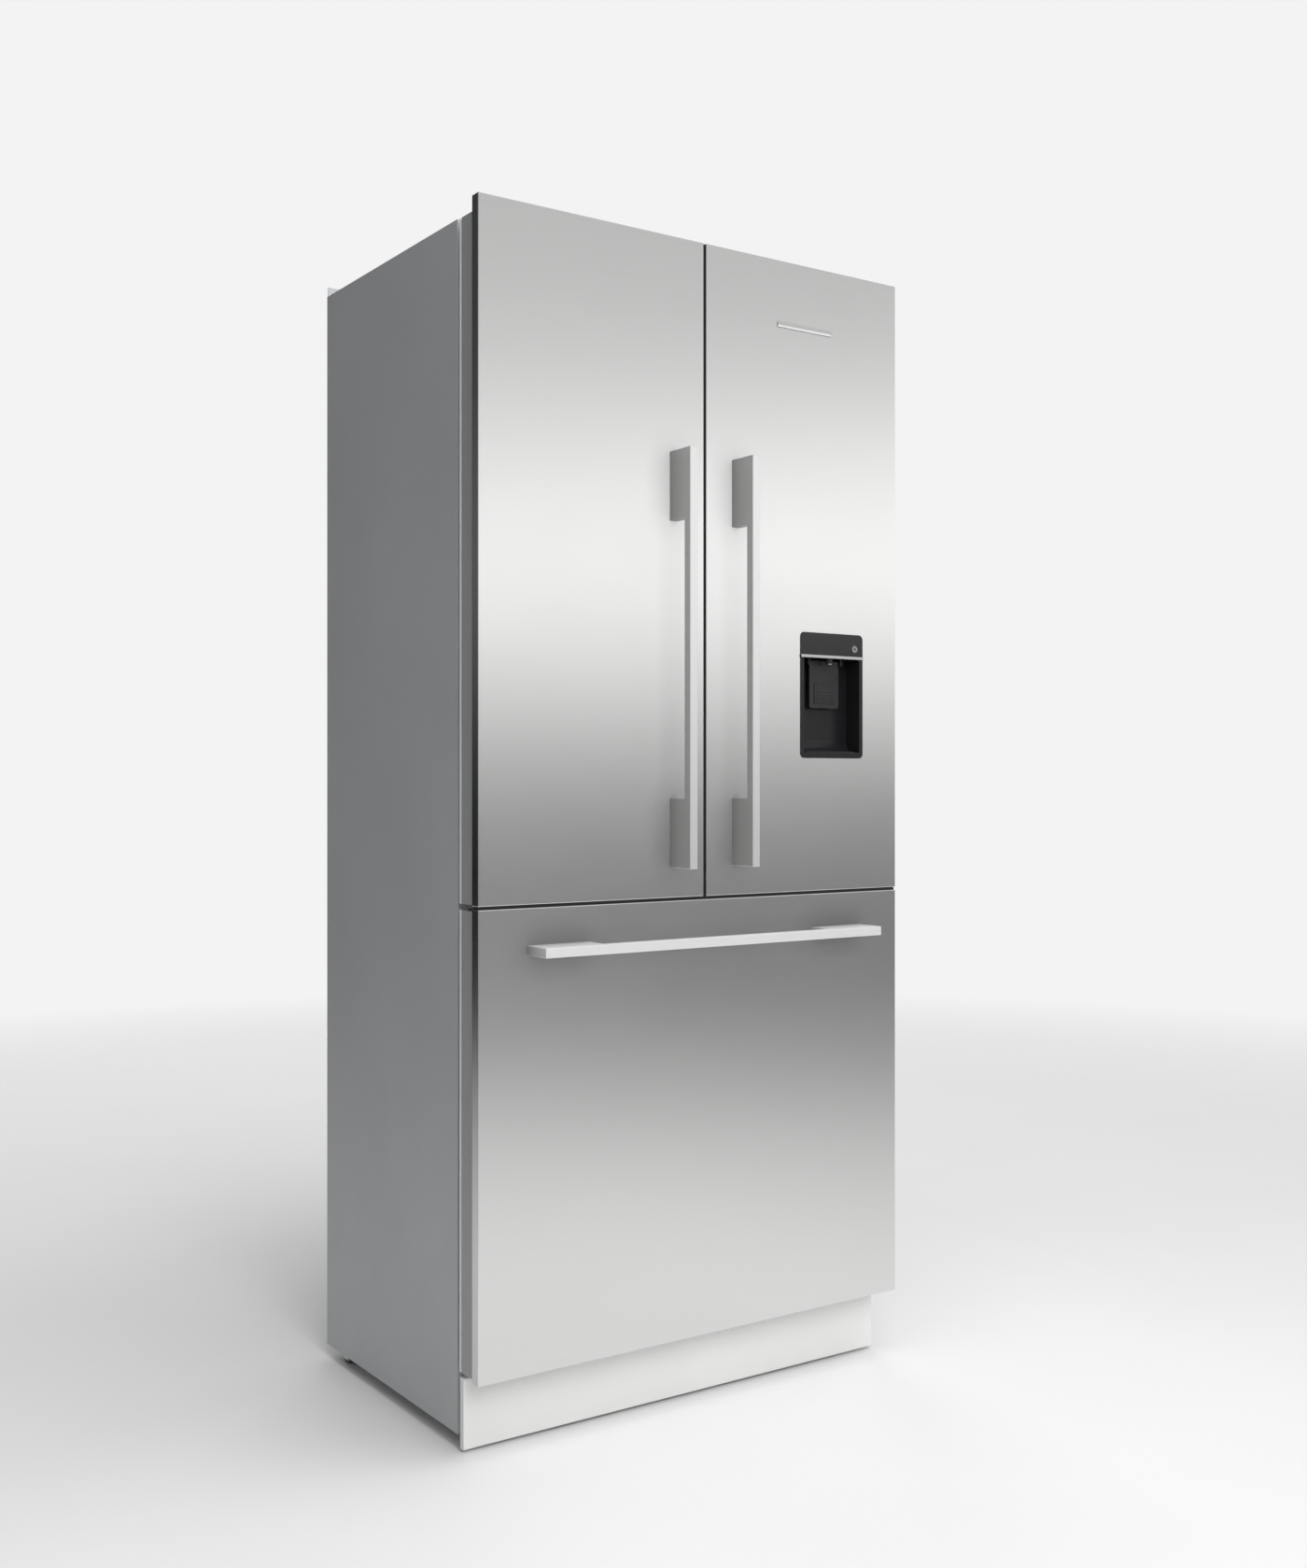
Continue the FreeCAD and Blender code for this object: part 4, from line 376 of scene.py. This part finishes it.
def add_screw(built, start, radius):
    """A domed screw head with a recess, facing up."""
    height = radius * 0.55
    profile = [(0, radius), (height * 0.45, radius), (height * 0.8, radius * 0.82), (height, radius * 0.5),
               (height, radius * 0.34), (height * 0.45, radius * 0.26)]
    add_turned(built, start, "z", profile, 20)


def add_tube(name, points, radius, finish, body):
    """A bent tube that follows its points smoothly."""
    data = bpy.data.curves.new(name, "CURVE")
    data.dimensions = "3D"
    data.bevel_depth = radius
    data.bevel_resolution = 4
    data.use_fill_caps = True
    spline = data.splines.new("NURBS")
    spline.points.add(len(points) - 1)
    for point, place in zip(spline.points, points):
        point.co = (*place, 1)
    spline.order_u = 3
    spline.use_endpoint_u = True
    tube = bpy.data.objects.new(name, data)
    scene.collection.objects.link(tube)
    data.materials.append(finishes[finish])
    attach(tube, body)


# ---------------------------------------------------------------------------------------------
# Fittings on the fronts
# ---------------------------------------------------------------------------------------------

front_low, front_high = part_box("right_fascia")
SUNK = 0.0004


def blank_bar(built):
    """Plain raised bar near the top of the right door."""
    middle_x, middle_z, half_wide, half_tall, proud = 0.225, 1.916, 0.063, 0.0045, 0.0014
    add_slab(built, (middle_x - half_wide, front_low.y - proud, middle_z - half_tall),
             (middle_x + half_wide, front_low.y + SUNK, middle_z + half_tall), 0.0005)


place_piece("blank_bar", blank_bar, "stainless", "right_door_group")


def seam_shade_strip(low, high):
    """Painted shade: a near-black strip set back in the gap between two fronts, standing in for the gap's
    shadow.
    """
    return lambda built: add_slab(built, low, high, 0.0003, 2)


drawer_low, drawer_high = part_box("drawer_fascia")
half_gap, seam_play, seam_end = front_low.x, 0.0003, 0.001
recess, skirt = front_low.y + 0.003, front_high.y - 0.0005
# Painted shade: near-black strips fill the gaps between the fronts so the gaps read dark.
for word, body, low, high in (
    ("left_seam_shade", "left_door_group", (-half_gap, recess, front_low.z + seam_end),
     (-seam_play, skirt, front_high.z - seam_end)),
    ("right_seam_shade", "right_door_group", (seam_play, recess, front_low.z + seam_end),
     (half_gap, skirt, front_high.z - seam_end)),
    ("drawer_seam_shade", "freezer_drawer", (drawer_low.x + seam_end, recess, drawer_high.z),
     (drawer_high.x - seam_end, skirt, front_low.z - 2 * seam_play)),
):
    place_piece(word, seam_shade_strip(low, high), "seam_shade_black", body)

house_low, house_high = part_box("dispenser_housing")
ledge_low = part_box("dispenser_spout")[0]
button_low, button_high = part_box("dispenser_button")
house_x = (house_low.x + house_high.x) / 2


def grille(built):
    """Drip grille on the floor of the recess: a thin frame with bars across it."""
    floor = house_low.z + 0.0107
    near, far = house_low.y + 0.004, house_low.y + 0.0145
    half, rail, rail_tall, inset = 0.058, 0.0018, 0.0016, 0.002
    for low_y, high_y in ((near, near + rail), (far - rail, far)):
        add_slab(built, (house_x - half, low_y, floor - SUNK), (house_x + half, high_y, floor + rail_tall),
                 0.0003, 2)
    count, bar_half, bar_tall, bar_end = 24, 0.0007, 0.0012, 0.001
    for index in range(count):
        x = house_x - half + inset + (2 * half - 2 * inset) * index / (count - 1)
        add_slab(built, (x - bar_half, near + bar_end, floor - SUNK),
                 (x + bar_half, far - bar_end, floor + bar_tall), 0.0002, 1)


place_piece("drip_grille", grille, "black_matte", "right_door_group")


def button_ring(built):
    """Raised ring on the button's face."""
    centre = (button_low + button_high) / 2
    outer, inner, ease, proud = 0.0045, 0.0035, 0.0002, 0.0004
    add_turned(built, (centre.x, button_low.y + ease, centre.z), "y",
               [(0, outer), (-proud, outer - ease), (-proud, inner + ease), (0, inner)], 36)


place_piece("button_ring", button_ring, "bright_metal", "button")


def nozzle_collar(built):
    """Collar round the foot of the water nozzle."""
    nozzle_y = ledge_low.y + 0.011
    profile = [(0.0015, 0.0051), (0.0018, 0.0062), (0.0075, 0.0068), (0.0095, 0.0062), (0.0105, 0.0051)]
    add_turned(built, (house_x, nozzle_y, ledge_low.z), "z", profile, 32)


place_piece("nozzle_collar", nozzle_collar, "black_matte", "right_door_group")


def paddle_pad(built):
    """Soft grip pad on the paddle: a rounded plate with level ribs."""
    low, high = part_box("dispenser_paddle")
    middle = (low.x + high.x) / 2
    pad_half, pad_proud, pad_low, pad_high = 0.024, 0.0012, 0.008, 0.046
    add_slab(built, (middle - pad_half, low.y - pad_proud, low.z + pad_low),
             (middle + pad_half, low.y + 0.0005, low.z + pad_high), 0.0006)
    rib_half, rib_proud, rib_tall, rib_pitch = 0.019, 0.0019, 0.0018, 0.0056
    for index in range(6):
        z = low.z + 0.013 + rib_pitch * index
        add_slab(built, (middle - rib_half, low.y - rib_proud, z),
                 (middle + rib_half, low.y - 0.0008, z + rib_tall), 0.0004, 2)


place_piece("paddle_pad", paddle_pad, "black_matte", "paddle")

# ---------------------------------------------------------------------------------------------
# Inside: lamps, trims, seals
# ---------------------------------------------------------------------------------------------

liner_low, liner_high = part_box("fridge_liner")
roof = liner_high.z - 0.0025
LAMP_HALF, LAMP_NEAR, LAMP_FAR, LAMP_RIM = 0.16, 0.12, 0.17, 0.008


def roof_lamp(built):
    """Flat lamp lens under the roof of the fresh food room."""
    add_slab(built, (-LAMP_HALF, liner_low.y + LAMP_NEAR, roof - 0.007),
             (LAMP_HALF, liner_low.y + LAMP_FAR, roof + 0.0005), 0.003)


place_piece("roof_lamp", roof_lamp, "lamp", "cabinet")


def roof_lamp_frame(built):
    """Four strips round the lamp lens."""
    half, wide = LAMP_HALF + LAMP_RIM, LAMP_RIM + 0.001
    near, far = liner_low.y + LAMP_NEAR - LAMP_RIM, liner_low.y + LAMP_FAR + LAMP_RIM
    for low, high in (((-half, near), (half, near + wide)), ((-half, far - wide), (half, far)),
                      ((-half, near), (wide - half, far)), ((half - wide, near), (half, far))):
        add_slab(built, (low[0], low[1], roof - 0.0045), (high[0], high[1], roof + 0.0005), 0.0015)


place_piece("roof_lamp_frame", roof_lamp_frame, "shelf_trim", "cabinet")

shelf_low, shelf_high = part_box("shelf_frames")
SHELF_HALF, SHELF_TALL, STRIP_DEEP = 0.380, 0.016, 0.003


def shelf_strip(built, front, shelf_z):
    """Strip in front of a shelf whose underside is at shelf_z."""
    add_slab(built, (-SHELF_HALF, front, shelf_z + 0.001),
             (SHELF_HALF, front + STRIP_DEEP, shelf_z + 0.0155), 0.001)


def shelf_edges(built):
    """Bright strip along the front edge of each upper shelf."""
    pitch = (shelf_high.z - SHELF_TALL - shelf_low.z) / 3
    for index in range(1, 4):
        shelf_strip(built, -0.0945, shelf_low.z + index * pitch)


place_piece("shelf_edges", shelf_edges, "bright_metal", "cabinet")


def crisper_edge(built):
    """Bright strip along the front edge of the drawers' cover."""
    shelf_strip(built, -0.1325, shelf_low.z)


place_piece("crisper_cover_edge", crisper_edge, "bright_metal", "cabinet")


def bin_rails(word):
    """Slim rail along the front rim of each door bin."""
    def build(built):
        low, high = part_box(f"{word}_door_bins")
        bin_tall, end = 0.110, 0.018
        pitch = (high.z - low.z - bin_tall) / 2
        for index in range(3):
            top = low.z + bin_tall + index * pitch
            add_slab(built, (low.x + end, high.y - 0.0042, top - 0.012),
                     (high.x - end, high.y + 0.0012, top + 0.0022), 0.0015)
    return build


for word in ("left", "right"):
    place_piece(f"{word}_bin_rails", bin_rails(word), "bright_metal", f"{word}_door_group")


def crisper_trim(word):
    """Lip over the finger hollow of a vegetable drawer."""
    def build(built):
        low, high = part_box(f"{word}_crisper")
        middle, half = (low.x + high.x) / 2, 0.0705
        add_slab(built, (middle - half, low.y - 0.0006, high.z - 0.0145),
                 (middle + half, low.y + 0.0065, high.z - 0.0035), 0.002)
    return build


for word in ("left", "right"):
    place_piece(f"{word}_crisper_grip", crisper_trim(word), "shelf_trim",
                f"crisper_{word}_group")


def seal_lips(word):
    """The magnet bead that runs round a seal: a rounded rib on its cabinet side."""
    def build(built):
        low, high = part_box(f"{word}_seal")
        inset, rib, y_low, y_high = 0.004, 0.006, high.y - 0.0025, high.y + 0.0003
        x_low, x_high, z_low, z_high = low.x + inset, high.x - inset, low.z + inset, high.z - inset
        for a, b in (((x_low, z_low), (x_high, z_low + rib)), ((x_low, z_high - rib), (x_high, z_high)),
                     ((x_low, z_low), (x_low + rib, z_high)), ((x_high - rib, z_low), (x_high, z_high))):
            add_slab(built, (a[0], y_low, a[1]), (b[0], y_high, b[1]), 0.001, 2)
    return build


for word, body in (("left", "left_door_group"), ("right", "right_door_group"), ("drawer", "freezer_drawer")):
    place_piece(f"{word}_seal_bead", seal_lips(word), "seal_grey", body)


def side_lamps(built):
    """Upright lamp lenses on both walls of the fresh food room, near the front."""
    wall_half, proud, lamp_low, lamp_high = 0.397, 0.004, 1.40, 1.88
    for side in (-1, 1):
        wall = side * wall_half
        inner, outer = sorted((wall - side * proud, wall + side * 0.0003))
        add_slab(built, (inner, liner_low.y + 0.066, lamp_low),
                 (outer, liner_low.y + 0.082, lamp_high), 0.0015)


place_piece("side_lamps", side_lamps, "lamp", "cabinet")

# ---------------------------------------------------------------------------------------------
# Hinges, screws, machine bay
# ---------------------------------------------------------------------------------------------

case_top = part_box("side_panel_left")[1].z
HINGE_PLATE = 0.005
SCREW_X = 0.407
PIN_X, PIN_Y = 0.426, -0.243


def hinge_screws(built):
    """Three screws in each top hinge."""
    for side in (-1, 1):
        for y in (-0.17, -0.14, -0.11):
            add_screw(built, (side * SCREW_X, y, case_top + HINGE_PLATE), 0.005)


place_piece("hinge_screws", hinge_screws, "zinc_steel", "cabinet")


def hinge_caps(built):
    """Nose caps over the hinge pins."""
    for side in (-1, 1):
        profile = [(0, 0.0088), (0.0012, 0.0088), (0.0026, 0.0078), (0.0032, 0.006)]
        add_turned(built, (side * PIN_X, PIN_Y, case_top + HINGE_PLATE), "z", profile, 32)


place_piece("hinge_caps", hinge_caps, "black_matte", "cabinet")


def top_screws(built):
    """Two rows of screws along the top panel."""
    pitch = 0.162
    for step in (-2, -1, 0, 1, 2):
        for y in (-0.17, 0.30):
            add_screw(built, (step * pitch, y, case_top), 0.0042)


place_piece("top_screws", top_screws, "zinc_steel", "cabinet")

can_low, can_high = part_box("compressor")


def relay_box(built):
    """Starter cover on the side of the compressor."""
    middle, half = (can_low.y + can_high.y) / 2, 0.026
    add_slab(built, (can_high.x - 0.016, middle - half, can_low.z + 0.06),
             (can_high.x + 0.010, middle + half, can_low.z + 0.13), 0.005)


place_piece("starter_cover", relay_box, "black_matte", "cabinet")

stub_x, stub_y, coil_z = -0.19212, 0.24, 0.244
add_tube("discharge_pipe", [
    (stub_x, stub_y, 0.226), (stub_x, stub_y, 0.238), (stub_x, stub_y, coil_z), (stub_x, 0.19, coil_z),
    (-0.10, 0.158, coil_z), (-0.02, 0.158, 0.24), (0.0, 0.17, 0.20), (0.0, 0.19, 0.19), (0.0, 0.205, 0.185),
], 0.003, "copper", "cabinet")

water_x = 0.367
add_tube("water_pipe", [
    (water_x, 0.257, 0.175), (water_x, 0.24, 0.175), (water_x, 0.21, 0.18), (water_x, 0.17, 0.20),
    (water_x, 0.152, 0.235), (water_x, 0.15, 0.247),
], 0.0032, "liner_white", "cabinet")

# ---------------------------------------------------------------------------------------------
# Floor, world and lights
# ---------------------------------------------------------------------------------------------


def pale_floor():
    """Wide disc that fades into the background."""
    mesh = bpy.data.meshes.new("studio_floor")
    built = bmesh.new()
    bmesh.ops.create_circle(built, cap_ends=True, segments=96, radius=9)
    built.to_mesh(mesh)
    built.free()
    floor = bpy.data.objects.new("studio_floor", mesh)
    floor.location = (0, 0, -0.0005)
    scene.collection.objects.link(floor)
    finish = Finish("studio_floor", (0.83, 0.83, 0.83), 0.55)
    finish.set(**{"Specular IOR Level": 0.2})
    finish.vary_color(finish.noise(1.5, detail=2), 0.985, 1.01)
    distance = finish.add("ShaderNodeVectorMath", operation="LENGTH")
    finish.link(finish.place, distance.inputs[0])
    fade = finish.remap(distance.outputs["Value"], 1.0, 0.0, 1.2, 5.5)
    finish.link(fade, finish.shader.inputs["Alpha"])
    mesh.materials.append(finish.material)


pale_floor()

# Brightness of the room by height above the horizon, in degrees, as bright steel shows it.
ROOM_TONES = (
    (-40, 200), (-19, 200), (-12, 150), (-7, 92), (-4.5, 66), (-2.5, 68), (-0.5, 112), (1.2, 168), (2.8, 212),
    (4.4, 250), (6, 282), (7.6, 298), (9.2, 286), (10.8, 252), (12.4, 212), (14, 182), (15.4, 174), (18, 176),
    (30, 196), (60, 225), (90, 235),
)
STEEL_SHARE = 0.753  # the part of the room's light that the fronts give back
RAMP_SHARE = 0.7  # keeps the ramp's colours under 1
FRONT_STRENGTH, REAR_STRENGTH, LEFT_SHARE = 1.0, 0.17, 0.45


def room():
    """World light: the room's tones by height, dimmer behind and to the left, plain pale grey to the eye."""
    world = bpy.data.worlds.new("room")
    scene.world = world
    world.use_nodes = True
    tree = world.node_tree
    tree.nodes.clear()
    output = tree.nodes.new("ShaderNodeOutputWorld")
    place = tree.nodes.new("ShaderNodeTexCoord")
    split = tree.nodes.new("ShaderNodeSeparateXYZ")
    tree.links.new(place.outputs["Generated"], split.inputs["Vector"])
    span = tree.nodes.new("ShaderNodeMapRange")
    span.inputs["From Min"].default_value = -1
    span.inputs["From Max"].default_value = 1
    tree.links.new(split.outputs["Z"], span.inputs["Value"])
    ramp = tree.nodes.new("ShaderNodeValToRGB")
    tree.links.new(span.outputs["Result"], ramp.inputs["Fac"])
    stops = ramp.color_ramp.elements
    stops.remove(stops[1])
    for index, (angle, tone) in enumerate(ROOM_TONES):
        where = (math.sin(math.radians(angle)) + 1) / 2
        stop = stops[0] if index == 0 else stops.new(where)
        stop.position = where
        light = srgb(tone) * RAMP_SHARE
        stop.color = (light, light, light, 1)
    behind = tree.nodes.new("ShaderNodeMapRange")
    behind.inputs["From Min"].default_value = -0.1
    behind.inputs["From Max"].default_value = 0.55
    behind.inputs["To Min"].default_value = FRONT_STRENGTH / (STEEL_SHARE * RAMP_SHARE)
    behind.inputs["To Max"].default_value = REAR_STRENGTH / (STEEL_SHARE * RAMP_SHARE)
    tree.links.new(split.outputs["Y"], behind.inputs["Value"])
    left = tree.nodes.new("ShaderNodeMapRange")
    left.inputs["From Min"].default_value = -0.35
    left.inputs["From Max"].default_value = 0.25
    left.inputs["To Min"].default_value = LEFT_SHARE
    left.inputs["To Max"].default_value = 1.0
    tree.links.new(split.outputs["X"], left.inputs["Value"])
    strength = tree.nodes.new("ShaderNodeMath")
    strength.operation = "MULTIPLY"
    tree.links.new(behind.outputs["Result"], strength.inputs[0])
    tree.links.new(left.outputs["Result"], strength.inputs[1])
    seen = tree.nodes.new("ShaderNodeBackground")
    tree.links.new(ramp.outputs["Color"], seen.inputs["Color"])
    tree.links.new(strength.outputs["Value"], seen.inputs["Strength"])
    plain = tree.nodes.new("ShaderNodeBackground")
    plain.inputs["Color"].default_value = (srgb(243), srgb(243), srgb(243), 1)
    path = tree.nodes.new("ShaderNodeLightPath")
    mix = tree.nodes.new("ShaderNodeMixShader")
    tree.links.new(path.outputs["Is Camera Ray"], mix.inputs["Fac"])
    tree.links.new(seen.outputs["Background"], mix.inputs[1])
    tree.links.new(plain.outputs["Background"], mix.inputs[2])
    tree.links.new(mix.outputs["Shader"], output.inputs["Surface"])


room()


def area_light(name, place, aim, size, energy):
    """A soft panel that lights the object and doesn't show in its gloss."""
    data = bpy.data.lights.new(name, "AREA")
    data.shape = "RECTANGLE"
    data.size, data.size_y = size
    data.energy = energy
    light = bpy.data.objects.new(name, data)
    light.location = place
    light.rotation_euler = (Vector(aim) - Vector(place)).to_track_quat("-Z", "Y").to_euler()
    light.visible_glossy = False
    scene.collection.objects.link(light)


area_light("soft_key", (-1.3, -4.2, 3.2), (0, 0, 0.9), (2.6, 2.2), 95)
area_light("soft_top", (0.2, -1.2, 4.2), (0, -0.3, 0.5), (3.0, 2.4), 80)
area_light("soft_back", (1.5, 3.4, 3.0), (0, 0, 1.0), (2.6, 2.2), 40)
